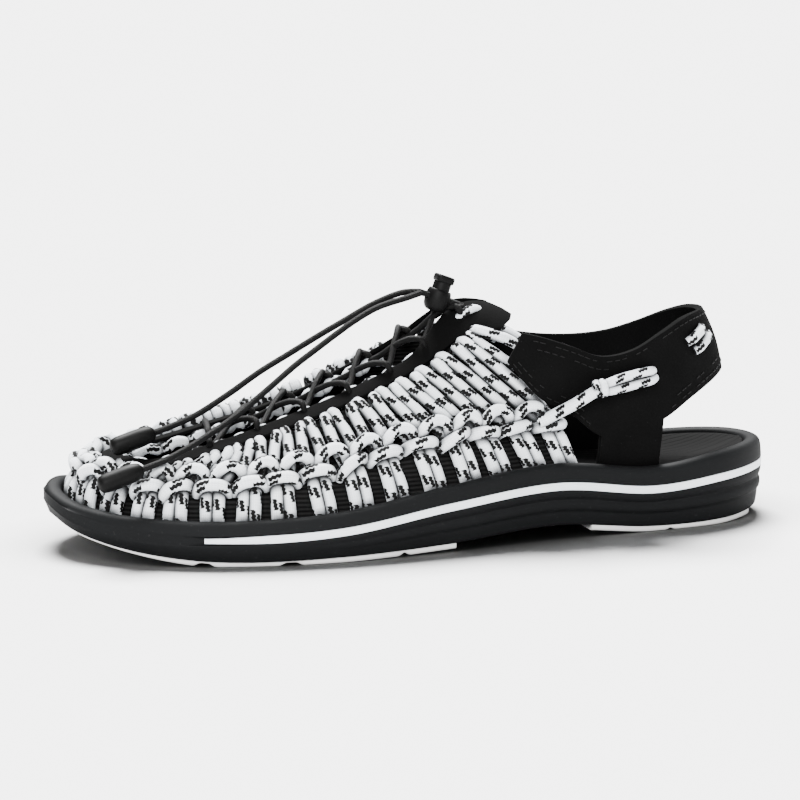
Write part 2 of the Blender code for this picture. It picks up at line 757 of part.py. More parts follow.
def tube_mesh(name, points, diameter, collection):
    """A welded mesh tube, for pieces that are joined to others."""
    path = f"{name}_path"
    curve = add_object(path, tube_curve(path, points, diameter), collection)
    bpy.context.view_layer.update()
    graph = bpy.context.evaluated_depsgraph_get()
    mesh = bpy.data.meshes.new_from_object(curve.evaluated_get(graph))
    mesh.name = name
    bm = bmesh.new()
    bm.from_mesh(mesh)
    bmesh.ops.remove_doubles(bm, verts=bm.verts, dist=1e-6)
    bmesh.ops.recalc_face_normals(bm, faces=bm.faces)
    bm.to_mesh(mesh)
    bm.free()
    mesh.shade_smooth()
    made = add_object(name, mesh, collection)
    bpy.data.objects.remove(curve)
    return made


def helper(made):
    made.hide_render = True
    made.display_type = "WIRE"
    return made


def join(target, other, operation="UNION"):
    step = target.modifiers.new(other.name, "BOOLEAN")
    step.operation = operation
    step.solver = "EXACT"
    step.object = helper(other)


def on_side(points, side):
    """Lateral points, or their like on the medial side, where the heel is narrower."""
    if side < 0.0:
        return points
    return [(x, MEDIAL_SHIFT - y, z) for x, y, z in points]


def build_heel_cord(name, side, collection, cutters, finish):
    """Cord from the woven band to a knot, and the two short legs from the knot to the strap."""
    main = smooth_route(on_side(HEEL_CORD_ROUTE, side), 2.5 * CORD_DIAMETER)
    cord = tube_mesh(name, main, CORD_DIAMETER, collection)
    cord.data.materials.append(finish)
    for index, leg in enumerate(HEEL_CORD_LEGS):
        points = smooth_route(on_side(leg, side), 2.0 * CORD_DIAMETER)
        join(cord, tube_mesh(f"{name}_leg_{index}", points, CORD_DIAMETER - GAP, cutters))
    bm = bmesh.new()
    bmesh.ops.create_uvsphere(bm, u_segments=10, v_segments=6, radius=KNOT_RADIUS * MM)
    knot = add_object(f"{name}_knot", mesh_from(bm, f"{name}_knot"), cutters)
    knot.location = placed(on_side([HEEL_CORD_ROUTE[-1]], side)[0])
    join(cord, knot)
    return cord


def back_cord_run(height):
    """Points of one run of the cord round the back of the strap, lateral end first."""
    lift = 0.5 * HEEL_STRAP_THICKNESS + GAP + 0.5 * CORD_DIAMETER
    last = len(HEEL_STRAP) - 1
    steps = range(BACK_CORD_STEPS, -1, -1)
    spots = [last - BACK_CORD_SPAN * step / BACK_CORD_STEPS for step in steps]
    halves = [(spot, -1.0) for spot in spots] + [(spot, 1.0) for spot in spots[-2::-1]]
    points = []
    for spot, side in halves:
        low, high = strap_edges(spot, side)
        rise = (height - low) / (high - low)
        points.append(strap_point(spot, rise, side) + strap_outward(spot, rise, side) * lift)
    return points


def build_back_cord(collection, finish):
    """Closed cord loop round the back of the heel strap."""
    upper = back_cord_run(BACK_CORD_HEIGHT + BACK_CORD_HALF)
    lower = back_cord_run(BACK_CORD_HEIGHT - BACK_CORD_HALF)
    middle = back_cord_run(BACK_CORD_HEIGHT)
    lateral_end = middle[0] * 2.0 - middle[1].lerp(middle[0], 0.5)
    medial_end = middle[-1] * 2.0 - middle[-2].lerp(middle[-1], 0.5)
    loop = upper + [medial_end] + lower[::-1] + [lateral_end]
    curve = tube_curve("heel_back_cord", loop, CORD_DIAMETER - GAP, is_closed=True)
    return add_object("heel_back_cord", curve, collection, finish)


def lock_turn():
    """Turn that brings Z onto the lock's axis and -X onto the way the cords run through it."""
    return Matrix.Rotation(LOCK_TILT, 3, "Y")


def lock_cord_point(reach, side):
    """Point of one of the two cords in the lock, at a reach towards the toe."""
    local = Vector((-reach, 0.5 * side * BUNGEE_PITCH, 0.0))
    return LOCK_CENTRE + lock_turn() @ local


def lace_anchor(place, side):
    """Lace point over the eyestay's throat edge."""
    lift = EYESTAY_LIFT + 0.5 * EYESTAY_THICKNESS + LACE_GAP + 0.5 * BUNGEE_DIAMETER
    return eyestay_point(side * place, LACE_SHARE, lift)


def lace_strand(first_side):
    """One strand that crosses from eyelet to eyelet up the throat and runs through the lock."""
    points = []
    side = first_side
    for place in LACE_ROWS:
        points.append(lace_anchor(place, side))
        side = -side
    for reach in (-LOCK_REACH - LACE_ENTRY, -LOCK_REACH, LOCK_REACH):
        points.append(lock_cord_point(reach, -side))
    return points


def build_lace(collection, cutters, finish):
    lace = tube_mesh("lace", lace_strand(-1.0), BUNGEE_DIAMETER, collection)
    lace.data.materials.append(finish)
    join(lace, tube_mesh("lace_second", lace_strand(1.0), BUNGEE_DIAMETER, cutters))
    first_bar = [lace_anchor(LACE_ROWS[0], side) for side in (-1.0, 1.0)]
    join(lace, tube_mesh("lace_first_bar", first_bar, BUNGEE_DIAMETER - GAP, cutters))
    return lace


def tail_points(route, side):
    """Free lace end from the lock's mouth through its route."""
    start = lock_cord_point(LOCK_REACH + TAIL_GAP, side)
    return smooth_route([start] + [Vector(point) for point in route], 3.0 * BUNGEE_DIAMETER)


def turned_object(name, profile, collection, finish, steps):
    """Turned piece about its own Z axis from radius and height pairs, top to bottom."""
    mesh = bpy.data.meshes.new(name)
    points = [(radius * MM, 0.0, height * MM) for radius, height in profile]
    mesh.from_pydata(points, [(i, i + 1) for i in range(len(points) - 1)], [])
    made = add_object(name, mesh, collection, finish)
    screw = made.modifiers.new("Turn", "SCREW")
    screw.steps = steps
    screw.render_steps = steps
    screw.use_merge_vertices = True
    screw.merge_threshold = 0.00001
    return made


def build_tip(name, tail, collection, finish):
    """Moulded end cap, a waisted barrel in line with the end of its cord."""
    heading = (tail[-1] - tail[-2]).normalized()
    profile = [
        (0.0, 0.0), (2.2, 0.0), (2.9, -0.8), (TIP_RADIUS - 0.2, -4.0), (TIP_RADIUS, -9.0),
        (TIP_RADIUS - 0.1, -TIP_LENGTH + 3.0), (TIP_RADIUS - 1.0, -TIP_LENGTH + 0.8),
        (TIP_RADIUS - 2.2, -TIP_LENGTH), (0.0, -TIP_LENGTH),
    ]
    tip = turned_object(name, profile, collection, finish, steps=14)
    tip.location = placed(tail[-1] + heading * GAP)
    tip.rotation_euler = (-heading).to_track_quat("Z", "Y").to_euler()
    return tip


def lock_block(name, length, width, low, high, collection):
    """Box about the lock's axis between two heights."""
    bm = bmesh.new()
    bmesh.ops.create_cube(bm, size=1.0)
    for vertex in bm.verts:
        vertex.co.x *= length * MM
        vertex.co.y *= width * MM
        vertex.co.z = (low if vertex.co.z < 0.0 else high) * MM
    return add_object(name, mesh_from(bm, name), collection)


def lock_rod(name, radius, low, high, collection, finish=None):
    """Round rod on the lock's axis between two heights."""
    bm = bmesh.new()
    bmesh.ops.create_cone(bm, cap_ends=True, segments=LOCK_SEGMENTS, radius1=radius * MM,
                          radius2=radius * MM, depth=(high - low) * MM)
    bmesh.ops.translate(bm, verts=bm.verts, vec=(0.0, 0.0, 0.5 * (low + high) * MM))
    return add_object(name, mesh_from(bm, name), collection, finish)


def build_cord_lock(collection, cutters, finish):
    """Sprung lock: a round barrel with a cross hole, and a square-headed button in its bore."""
    barrel_profile = [
        (0.0, LOCK_MOUTH), (4.2, LOCK_MOUTH), (4.6, LOCK_MOUTH - 0.6), (4.9, 0.5), (4.85, -2.0),
        (4.7, -3.8), (4.15, LOCK_FOOT + 0.4), (2.8, LOCK_FOOT), (0.0, LOCK_FOOT),
    ]
    barrel = turned_object("cord_lock_barrel", barrel_profile, collection, finish, LOCK_SEGMENTS)
    bore_foot = STEM_FOOT - LOCK_TRAVEL - GAP
    bore = lock_rod("lock_bore", LOCK_BORE, bore_foot, CUT_LENGTH, cutters)
    hole = lock_block("lock_hole", CUT_LENGTH, LOCK_HOLE_WIDTH, -LOCK_HOLE_HALF, LOCK_HOLE_HALF,
                      cutters)
    head_low = LOCK_MOUTH + LOCK_TRAVEL + GAP
    head_high = head_low + HEAD_THICKNESS
    button = lock_rod("cord_lock_button", LOCK_STEM, STEM_FOOT, 0.5 * (head_low + head_high),
                      collection, finish)
    head = lock_block("lock_head", 2.0 * HEAD_HALF, 2.0 * HEAD_HALF, head_low, head_high, cutters)
    edge = head.modifiers.new("Edge", "BEVEL")
    edge.width = HEAD_EDGE * MM
    edge.segments = 2
    slot = lock_block("button_slot", CUT_LENGTH, LOCK_HOLE_WIDTH, -LOCK_HOLE_HALF,
                      LOCK_HOLE_HALF + LOCK_TRAVEL, cutters)
    for piece in (barrel, button, bore, hole, head, slot):
        piece.location = placed(LOCK_CENTRE)
        piece.rotation_euler = lock_turn().to_euler()
    join(barrel, bore, "DIFFERENCE")
    join(barrel, hole, "DIFFERENCE")
    join(button, head)
    join(button, slot, "DIFFERENCE")


def main():
    clear_scene()
    parts = bpy.data.collections.new("woven_sandal")
    cutters = bpy.data.collections.new("woven_sandal_cutters")
    bpy.context.scene.collection.children.link(parts)
    bpy.context.scene.collection.children.link(cutters)

    rubber = material("white_rubber", (0.74, 0.74, 0.72), 0.6)
    microfibre = material("black_microfibre", (0.010, 0.010, 0.011), 0.9)
    cord = material("white_heel_cord", (0.78, 0.78, 0.77), 0.8)
    bungee = material("black_bungee", (0.012, 0.012, 0.013), 0.7)
    moulding = material("black_moulding", (0.015, 0.015, 0.016), 0.45)

    build_midsole(parts)
    build_insole(parts)
    build_side_stripe(parts)
    build_tread("outsole_forefoot", FOREFOOT_LUGS, parts, rubber)
    build_tread("outsole_heel", HEEL_LUGS, parts, rubber)
    build_cord_upper(parts)
    build_eyestay(parts, microfibre)
    build_heel_strap(parts, microfibre)
    build_heel_cord("heel_cord_lateral", -1.0, parts, cutters, cord)
    build_heel_cord("heel_cord_medial", 1.0, parts, cutters, cord)
    build_back_cord(parts, cord)
    build_lace(parts, cutters, bungee)
    for label, route, side in (("upper", TAIL_UPPER_ROUTE, 1.0), ("lower", TAIL_LOWER_ROUTE, -1.0)):
        name = f"lace_tail_{label}"
        tail = tail_points(route, side)
        add_object(name, tube_curve(name, tail, BUNGEE_DIAMETER), parts, bungee)
        build_tip(f"lace_tip_{label}", tail, parts, moulding)
    build_cord_lock(parts, cutters, moulding)


main()
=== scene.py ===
import math
import random
from collections import namedtuple

import bmesh
import bpy
from mathutils import Matrix, Vector


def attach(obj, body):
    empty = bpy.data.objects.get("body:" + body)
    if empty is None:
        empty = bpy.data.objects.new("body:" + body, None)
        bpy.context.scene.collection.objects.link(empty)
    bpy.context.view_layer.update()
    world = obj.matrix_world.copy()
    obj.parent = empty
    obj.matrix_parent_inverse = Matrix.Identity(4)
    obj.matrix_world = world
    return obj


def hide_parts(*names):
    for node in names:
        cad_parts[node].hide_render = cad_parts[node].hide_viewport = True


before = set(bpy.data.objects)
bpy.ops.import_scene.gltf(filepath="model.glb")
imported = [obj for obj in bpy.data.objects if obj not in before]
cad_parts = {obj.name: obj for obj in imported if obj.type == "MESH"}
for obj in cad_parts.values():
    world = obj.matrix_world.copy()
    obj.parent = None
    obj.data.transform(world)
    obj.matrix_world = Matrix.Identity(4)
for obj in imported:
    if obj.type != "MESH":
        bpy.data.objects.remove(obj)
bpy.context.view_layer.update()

# Looks of a left woven cord sandal. Sizes are in millimetres in the maker's own frame, with the
# toe along -X and the outer side along -Y, and placed() turns them into metres of the frame.
MM = 0.001
MIDDLE_Y = -1.4918
UP = Vector((0.0, 0.0, 1.0))
SLOPE_STEP = 0.004
FINE_STEPS = 240
FINE_STEPS_A_POINT = 12
SHARP_ANGLE = 50.0
SOLE_SHARP_ANGLE = 60.0
CORD_SHARP_ANGLE = 80.0

SOLE_LENGTH = 288.0
CUP_INSET = 7.0
INSOLE_THICKNESS = 2.8
INSOLE_EDGE_DROP = 3.0
INSOLE_GAP = 0.3
CUP_DROP = 6.65
BOWL_POWER = 2.4
SLOT_WIDTH = 5.8
SLOT_END = 0.73
SLOT_FADE = 0.06
STRIPE_HALF = 1.5
STRIPE_FOLLOWS_RIM = 0.6
STRIPE_DEPTH = 1.2
STRIPE_START_X = -97.0
STRIPE_RAMP = 6.0
OUTSOLE_INSET = 2.6
OUTSOLE_THICKNESS = 2.3
TOE_LIFT = 1.3
TOE_LIFT_SPAN = (-144.0, -90.0)
HEEL_EDGE_RISE = 1.9
HEEL_EDGE_SPAN = (40.0, 95.0)
HEEL_BOWL_START = 98.0
HEEL_BOWL_LENGTH = 38.0

CORD_RADIUS = 2.4
CORD_INSET = 9.9
CORD_SEAT = 5.5
FLECK_REPEAT = 10.6
CORD_SIDES = 14
FULL_TURN = 6.28

EYESTAY_THICKNESS = 1.6
EYESTAY_LIFT = 2.5
EYESTAY_OVERLAP = 0.012
EYESTAY_END = 0.745
STRAP_THICKNESS = 2.6
STRAP_BULGE = 1.3
STRAP_BULGE_SPAN = (6.0, 8.5)
BUNGEE_RADIUS = 1.2
BUNGEE_PITCH = 2.6
LOCK_CENTRE = Vector((8.5, -2.8, 90.7))
LOCK_TILT = math.radians(20.0)
LOCK_REACH = 6.4
TAIL_GAP = 1.0
LOCK_TRAVEL = 2.5
LOCK_MOUTH = 3.3

# Eleven stations in equal steps of the turn from the toe tip (0) to the heel (1): the sides of the
# outline, the underside of the black sole, the middle of the white band, the rim's top edges and
# the footbed.
SoleRow = namedtuple("SoleRow", "lateral medial base stripe rim_lateral rim_medial footbed")
SOLE = [
    SoleRow(9.0, 9.0, 16.6, 20.1, 23.1, 23.1, 18.5),
    SoleRow(-13.0, 29.0, 8.9, 15.3, 19.9, 24.5, 16.5),
    SoleRow(-33.3, 42.5, 4.1, 11.1, 17.7, 21.0, 13.0),
    SoleRow(-47.2, 49.0, 1.9, 10.5, 17.3, 18.5, 12.0),
    SoleRow(-52.3, 47.5, 2.3, 12.2, 19.3, 20.0, 13.0),
    SoleRow(-47.5, 40.5, 3.4, 17.9, 25.5, 25.5, 18.0),
    SoleRow(-40.2, 33.3, 5.8, 21.3, 29.9, 29.9, 22.0),
    SoleRow(-37.0, 34.0, 2.3, 17.1, 25.8, 25.8, 20.5),
    SoleRow(-32.3, 30.5, 2.3, 19.4, 29.2, 28.3, 21.5),
    SoleRow(-18.5, 18.0, 3.6, 20.7, 30.3, 29.8, 23.5),
    SoleRow(0.0, 0.0, 4.9, 20.9, 30.2, 30.2, 25.5),
]

# The last at the first nine of these stations, up to the ankle: the crest of the instep, how square
# each section is, and the heights of the twined band and of the eyestay's edges as shares of the rise.
LastRow = namedtuple(
    "LastRow",
    "spine_x spine_y spine_z fullness braid lateral_low lateral_high medial_low medial_high",
)
LAST = [
    LastRow(-106.0, 8.0, 33.0, 2.7, 0.49, 0.68, 0.82, 0.68, 0.82),
    LastRow(-103.5, 8.0, 33.7, 2.6, 0.47, 0.64, 0.78, 0.70, 0.84),
    LastRow(-95.0, 8.0, 36.0, 2.35, 0.39, 0.53, 0.66, 0.72, 0.90),
    LastRow(-75.5, 8.5, 41.8, 2.2, 0.35, 0.60, 0.72, 0.77, 0.96),
    LastRow(-51.5, 8.5, 48.8, 2.15, 0.35, 0.68, 0.80, 0.79, 0.98),
    LastRow(-27.5, 7.5, 59.5, 2.1, 0.335, 0.68, 0.79, 0.79, 0.98),
    LastRow(-6.0, 6.0, 71.0, 2.05, 0.275, 0.685, 0.79, 0.79, 0.98),
    LastRow(17.0, 5.0, 85.0, 2.0, 0.25, 0.71, 0.86, 0.79, 0.98),
    LastRow(36.0, 4.0, 83.0, 2.0, 0.25, 0.72, 0.90, 0.79, 0.98),
]
LOW_EDGE = ("lateral_low", "medial_low")
HIGH_EDGE = ("lateral_high", "medial_high")

# The weaver's chart from the toe to the ankle: the station where each doubled cord leaves the
# sole, where it passes the twined band and where its loop meets the eyestay.
BundleRow = namedtuple("BundleRow", "foot band loop")
WEAVE_CHART = [
    BundleRow(0.0, 0.0, 0.0), BundleRow(0.072, 0.062, 0.115), BundleRow(0.130, 0.145, 0.200),
    BundleRow(0.183, 0.202, 0.250), BundleRow(0.228, 0.241, 0.284), BundleRow(0.273, 0.283, 0.313),
    BundleRow(0.311, 0.324, 0.340), BundleRow(0.348, 0.357, 0.3725), BundleRow(0.389, 0.394, 0.402),
    BundleRow(0.425, 0.430, 0.433), BundleRow(0.460, 0.466, 0.468), BundleRow(0.495, 0.508, 0.503),
    BundleRow(0.529, 0.546, 0.534), BundleRow(0.559, 0.578, 0.571), BundleRow(0.592, 0.617, 0.613),
    BundleRow(0.622, 0.657, 0.651),
]

# Half of the heel strap from its front end to the middle of the back.
StrapRow = namedtuple("StrapRow", "x side low high_lateral high_medial lean")
HEEL_STRAP = [
    StrapRow(29.0, 25.0, 68.0, 78.0, 77.0, 0.0),
    StrapRow(41.0, 28.5, 54.0, 75.0, 73.5, 0.0),
    StrapRow(53.0, 30.4, 47.5, 71.5, 71.0, 0.0),
    StrapRow(65.0, 31.0, 38.5, 67.0, 69.3, 0.0),
    StrapRow(78.0, 30.8, 39.5, 71.5, 68.8, 0.0),
    StrapRow(91.0, 30.2, 43.5, 76.5, 69.8, 1.0),
    StrapRow(103.0, 26.5, 49.5, 80.5, 73.0, 3.0),
    StrapRow(116.0, 18.0, 53.5, 82.5, 78.0, 6.5),
    StrapRow(123.5, 9.0, 55.0, 82.5, 81.0, 8.5),
    StrapRow(126.0, 0.0, 55.5, 82.0, 82.0, 9.0),
]
MEDIAL_NARROWING = 0.9
MEDIAL_SHIFT = -3.1
LEG_FRONT_ROW = 3.0
LEG_BACK_ROW = 5.0

TAIL_UPPER_ROUTE = [
    (-5.9, -0.6, 92.9), (-17.0, 0.0, 88.9), (-28.5, -0.6, 83.3), (-39.9, -1.2, 77.6),
    (-51.3, -1.8, 71.6), (-62.7, -2.4, 65.6), (-74.6, -3.0, 58.2), (-87.3, -3.5, 51.0),
    (-96.0, -3.7, 47.5), (-104.7, -3.9, 44.8),
]
TAIL_LOWER_ROUTE = [
    (-3.9, -3.3, 91.4), (-15.7, -4.6, 88.6), (-24.5, -5.5, 84.6), (-33.3, -7.0, 79.6),
    (-42.2, -8.5, 74.1), (-51.0, -10.0, 68.6), (-59.0, -11.8, 63.0), (-66.0, -13.5, 58.2),
    (-73.6, -15.6, 53.2), (-81.3, -17.7, 48.9), (-89.4, -20.0, 44.9), (-97.4, -22.0, 41.2),
    (-106.0, -23.4, 37.7), (-114.6, -23.9, 35.0),
]


def placed(point):
    """Maker's millimetres to metres of the frame."""
    return Vector((point[0], point[1] - MIDDLE_Y, point[2])) * MM


def ease(low, high, value):
    """Smooth step from 0 at low to 1 at high."""
    share = min(max((value - low) / (high - low), 0.0), 1.0)
    return share * share * (3.0 - 2.0 * share)


def blend_four(before, start, end, after, share):
    """Smooth value between start and end, with the slopes of the neighbouring values."""
    line = (end - before) * share
    square = (before * 2.0 - start * 5.0 + end * 4.0 - after) * share ** 2
    cube = (start * 3.0 - before - end * 3.0 + after) * share ** 3
    return start + (line + square + cube) * 0.5


def along(values, place):
    """Value of an open row of equal stations at a place from 0 to 1."""
    last = len(values) - 1
    spot = min(max(place, 0.0), 1.0) * last
    index = min(int(spot), last - 1)
    before = values[max(index - 1, 0)]
    after = values[min(index + 2, last)]
    return blend_four(before, values[index], values[index + 1], after, spot - index)


def around(values, place):
    """Value of a closed row of equal stations at a place that counts whole turns."""
    count = len(values)
    spot = (place % 1.0) * count
    index = int(spot)
    picked = [values[(index + step) % count] for step in (-1, 0, 1, 2)]
    return blend_four(*picked, spot - index)


def closed_column(lateral, medial):
    """One loop from the toe along the lateral side to the heel and back along the medial side."""
    first = [getattr(row, lateral) for row in SOLE]
    second = [getattr(row, medial) for row in SOLE]
    return first + second[-2:0:-1]


OUTLINE_SIDE = closed_column("lateral", "medial")
RIM_HEIGHT = closed_column("rim_lateral", "rim_medial")
STRIPE_HEIGHT = closed_column("stripe", "stripe")


def station_at(x):
    return math.acos(min(max(-2.0 * x / SOLE_LENGTH, -1.0), 1.0)) / math.pi


def outline(turn):
    side = around(OUTLINE_SIDE, turn)
    return Vector((-0.5 * SOLE_LENGTH * math.cos(2.0 * math.pi * turn), side))


def inward(turn):
    run = (outline(turn + SLOPE_STEP) - outline(turn - SLOPE_STEP)).normalized()
    return Vector((-run.y, run.x))


def inset(turn, distance):
    return outline(turn) + inward(turn) * distance


def sole_base(x):
    lift = TOE_LIFT * (1.0 - ease(*TOE_LIFT_SPAN, x))
    return along([row.base for row in SOLE], station_at(x)) + lift


def rim_top(turn):
    return around(RIM_HEIGHT, turn)


def stripe_middle(turn):
    lateral_turn = min(turn % 1.0, 1.0 - turn % 1.0)
    return around(STRIPE_HEIGHT, turn) + STRIPE_FOLLOWS_RIM * (rim_top(turn) - rim_top(lateral_turn))


def footbed_height(x, share):
    """Top of the insole at a place along the foot and a share of its width."""
    station = station_at(x)
    middle = along([row.footbed for row in SOLE], station)
    turn = 0.5 * station if share < 0.5 else 1.0 - 0.5 * station
    edge = rim_top(turn) - INSOLE_EDGE_DROP + HEEL_EDGE_RISE * ease(*HEEL_EDGE_SPAN, x)
    heel = min(max((x - HEEL_BOWL_START) / HEEL_BOWL_LENGTH, 0.0), 1.0) ** BOWL_POWER
    bowl = 1.0 - (1.0 - abs(2.0 * share - 1.0) ** BOWL_POWER) * (1.0 - heel)
    return middle + (edge - middle) * bowl


def last_value(column, place):
    """Value of the last's table at a signed station: lateral side negative, toe tip 0."""
    span = (len(LAST) - 1) / (len(SOLE) - 1)
    lateral, medial = (column, column) if isinstance(column, str) else column
    values = [getattr(row, lateral) for row in LAST[:0:-1]] + [getattr(row, medial) for row in LAST]
    return along(values, 0.5 + 0.5 * place / span)


def last_point(place, rise):
    """Point of the last at a signed station and a share of the rise from the sole to the spine."""
    turn = -0.5 * place
    foot = inset(turn, CORD_INSET)
    foot_z = rim_top(turn) - CORD_SEAT
    spine = Vector((last_value("spine_x", place), last_value("spine_y", place)))
    normal = inward(turn)
    tangent = Vector((normal.y, -normal.x))
    reach = spine - foot
    angle = 0.5 * math.pi * rise
    power = 2.0 / last_value("fullness", place)
    across = 1.0 - abs(math.cos(angle)) ** power
    upward = abs(math.sin(angle)) ** power
    flat = foot + normal * (reach.dot(normal) * across)
    flat += tangent * (reach.dot(tangent) * upward)
    height = foot_z + (last_value("spine_z", place) - foot_z) * upward
    return Vector((flat.x, flat.y, height))


def last_frame(place, rise):
    """Directions on the last: along the edge of the sole, up the wall and outward."""
    run = last_point(place + SLOPE_STEP, rise) - last_point(place - SLOPE_STEP, rise)
    climb = last_point(place, rise + SLOPE_STEP) - last_point(place, rise - SLOPE_STEP)
    run.normalize()
    climb.normalize()
    return run, climb, climb.cross(run).normalized()


def over_last(place, rise, lift=0.0, across=0.0, upward=0.0):
    """Point over the last, moved by millimetres outward, along the edge of the sole and upward."""
    run, climb, out = last_frame(place, rise)
    return last_point(place, rise) + out * lift + run * across + climb * upward


def eyestay_point(place, share, lift, across=0.0, upward=0.0):
    """Point over the eyestay at a share of its width from the outer to the throat edge."""
    low = last_value(LOW_EDGE, place) + EYESTAY_OVERLAP
    high = last_value(HIGH_EDGE, place)
    return over_last(place, low + (high - low) * share, lift, across, upward)


# How far the cloth of the heel strap stands past the solid's edges, row by row from the front.
EDGE_RAISE = {
    "high_lateral": [2.4, 2.7, 2.2, 2.4, -0.4, 0.8, 1.3, 0.4, 0.0, 0.0],
    "low": [0.0, 0.0, 0.0, 0.0, 0.0, 0.0, 0.6, 2.0, 3.2, 3.4],
}


def strap_value(column, spot):
    share = spot / (len(HEEL_STRAP) - 1)
    value = along([getattr(row, column) for row in HEEL_STRAP], share)
    if column in EDGE_RAISE:
        value += along(EDGE_RAISE[column], share)
    return value


def strap_edges(spot, side):
    """Heights of the heel strap's lower and upper edge."""
    return strap_value("low", spot), strap_value("high_medial" if side > 0.0 else "high_lateral", spot)


def strap_point(spot, rise, side, lift=0.0):
    """Point of the heel strap's middle layer, or over it; rise runs from lower to upper edge."""
    def flat(spot, rise):
        low, high = strap_edges(spot, side)
        x = strap_value("x", spot) - strap_value("lean", spot) * rise
        y = side * strap_value("side", spot) * (MEDIAL_NARROWING if side > 0.0 else 1.0)
        return Vector((x, y, low + (high - low) * rise))

    point = flat(spot, rise)
    lift += STRAP_BULGE * math.sin(math.pi * rise) * ease(*STRAP_BULGE_SPAN, spot)
    if lift:
        run = flat(spot + SLOPE_STEP, rise) - flat(spot - SLOPE_STEP, rise)
        climb = flat(spot, rise + SLOPE_STEP) - flat(spot, rise - SLOPE_STEP)
        point += run.cross(climb).normalized() * -side * lift
    return point


def leg_foot(spot, side):
    """Foot of a strap leg in the slot beside the insole."""
    turn = 0.5 * station_at(strap_value("x", spot))
    if side > 0.0:
        turn = 1.0 - turn
    flat = inset(turn, CORD_INSET)
    return Vector((flat.x, flat.y, rim_top(turn) - CORD_SEAT))


def lock_turn():
    return Matrix.Rotation(LOCK_TILT, 3, "Y")


def lock_cord_point(reach, side):
    """Point of one of the two cords in the lock, at a reach towards the toe."""
    return LOCK_CENTRE + lock_turn() @ Vector((-reach, 0.5 * side * BUNGEE_PITCH, 0.0))


def smooth_route(points, spacing):
    """Points about spacing apart on a smooth curve through a route's own points."""
    route = [Vector(point) for point in points]
    count = max(FINE_STEPS, FINE_STEPS_A_POINT * len(route))
    fine = [along(route, step / count) for step in range(count + 1)]
    runs = [0.0]
    for first, second in zip(fine, fine[1:]):
        runs.append(runs[-1] + (second - first).length)
    steps = max(2, round(runs[-1] / spacing))
    picked = []
    index = 0
    for step in range(steps + 1):
        target = runs[-1] * step / steps
        while index < count - 1 and runs[index + 1] < target:
            index += 1
        span = runs[index + 1] - runs[index]
        share = (target - runs[index]) / span if span else 0.0
        picked.append(fine[index].lerp(fine[index + 1], min(share, 1.0)))
    return picked


def tube_frames(points):
    """Heading and two side directions at each point of a route, without twist."""
    frames = []
    for index in range(len(points)):
        ahead = points[min(index + 1, len(points) - 1)]
        behind = points[max(index - 1, 0)]
        heading = (ahead - behind).normalized()
        if frames:
            turn = frames[-1][0].rotation_difference(heading)
            side = turn @ frames[-1][1]
            side = (side - heading * side.dot(heading)).normalized()
        else:
            side = heading.orthogonal().normalized()
        frames.append((heading, side, heading.cross(side)))
    return frames


def circle(centre, side, lift, radius, sides, spin=0.0):
    """Ring of points about a centre, in the plane of two directions."""
    ring = []
    for step in range(sides):
        angle = spin + 2.0 * math.pi * step / sides
        ring.append(centre + (side * math.cos(angle) + lift * math.sin(angle)) * radius)
    return ring


class Stock:
    """Points, faces and UVs gathered for one piece."""

    def __init__(self):
        self.points = []
        self.faces = []
        self.uvs = []

    def skin(self, rows, is_ring=True, runs=None, phase=0.0):
        """Faces between rows of points, with the run along them in u and the turn in v."""
        base = len(self.points)
        width = len(rows[0])
        runs = runs or [level / (len(rows) - 1) for level in range(len(rows))]
        for row in rows:
            self.points.extend(placed(point) for point in row)
        columns = width if is_ring else width - 1
        for level in range(len(rows) - 1):
            low = base + level * width
            start, end = runs[level] + phase, runs[level + 1] + phase
            for column in range(columns):
                follow = (column + 1) % width
                self.faces.append((low + column, low + follow, low + width + follow, low + width + column))
                left, right = column / columns, (column + 1) / columns
                self.uvs += [(start, left), (start, right), (end, right), (end, left)]
        return base

    def cap(self, first, count):
        """Close a ring of points that starts at an index."""
        self.faces.append(tuple(range(first, first + count)))
        self.uvs += [(0.0, step / count) for step in range(count)]

    def loft(self, rows, runs=None, phase=0.0):
        """Rings of points skinned in turn and closed at both ends."""
        width = len(rows[0])
        base = self.skin(rows, True, runs, phase)
        self.cap(base, width)
        self.cap(base + (len(rows) - 1) * width, width)

    def tube(self, points, radius, sides=CORD_SIDES, phase=0.0, spin=0.0):
        """Closed tube along a route; radius is a size or a function of the share of its length."""
        thickness = radius if callable(radius) else lambda share: radius
        rows = []
        runs = [0.0]
        for index, (heading, side, lift) in enumerate(tube_frames(points)):
            if index:
                runs.append(runs[-1] + (points[index] - points[index - 1]).length)
            size = thickness(index / (len(points) - 1))
            rows.append(circle(points[index], side, lift, size, sides, spin))
        self.loft(rows, [run / FLECK_REPEAT for run in runs], phase)

    def cord(self, route, spacing, radius, rng):
        """Cord along a route, with the start of its flecks and its twist left to chance."""
        self.tube(smooth_route(route, spacing), radius, phase=rng.random(), spin=rng.uniform(0.0, FULL_TURN))

    def mesh(self, name, sharp=SHARP_ANGLE):
        mesh = bpy.data.meshes.new(name)
        mesh.from_pydata(self.points, [], self.faces)
        layer = mesh.uv_layers.new(name="UVMap")
        layer.data.foreach_set("uv", [value for uv in self.uvs for value in uv])
        bm = bmesh.new()
        bm.from_mesh(mesh)
        bmesh.ops.recalc_face_normals(bm, faces=bm.faces)
        bm.to_mesh(mesh)
        bm.free()
        mesh.shade_smooth()
        mesh.set_sharp_from_angle(angle=math.radians(sharp))
        return mesh

    def piece(self, name, finish, slot, *nodes, sharp=SHARP_ANGLE, body="sandal"):
        """A finished piece from all that is gathered."""
        return add_piece(name, self.mesh(name, sharp), finish, slot, *nodes, body=body)


shoe = bpy.data.collections.new("shoe")


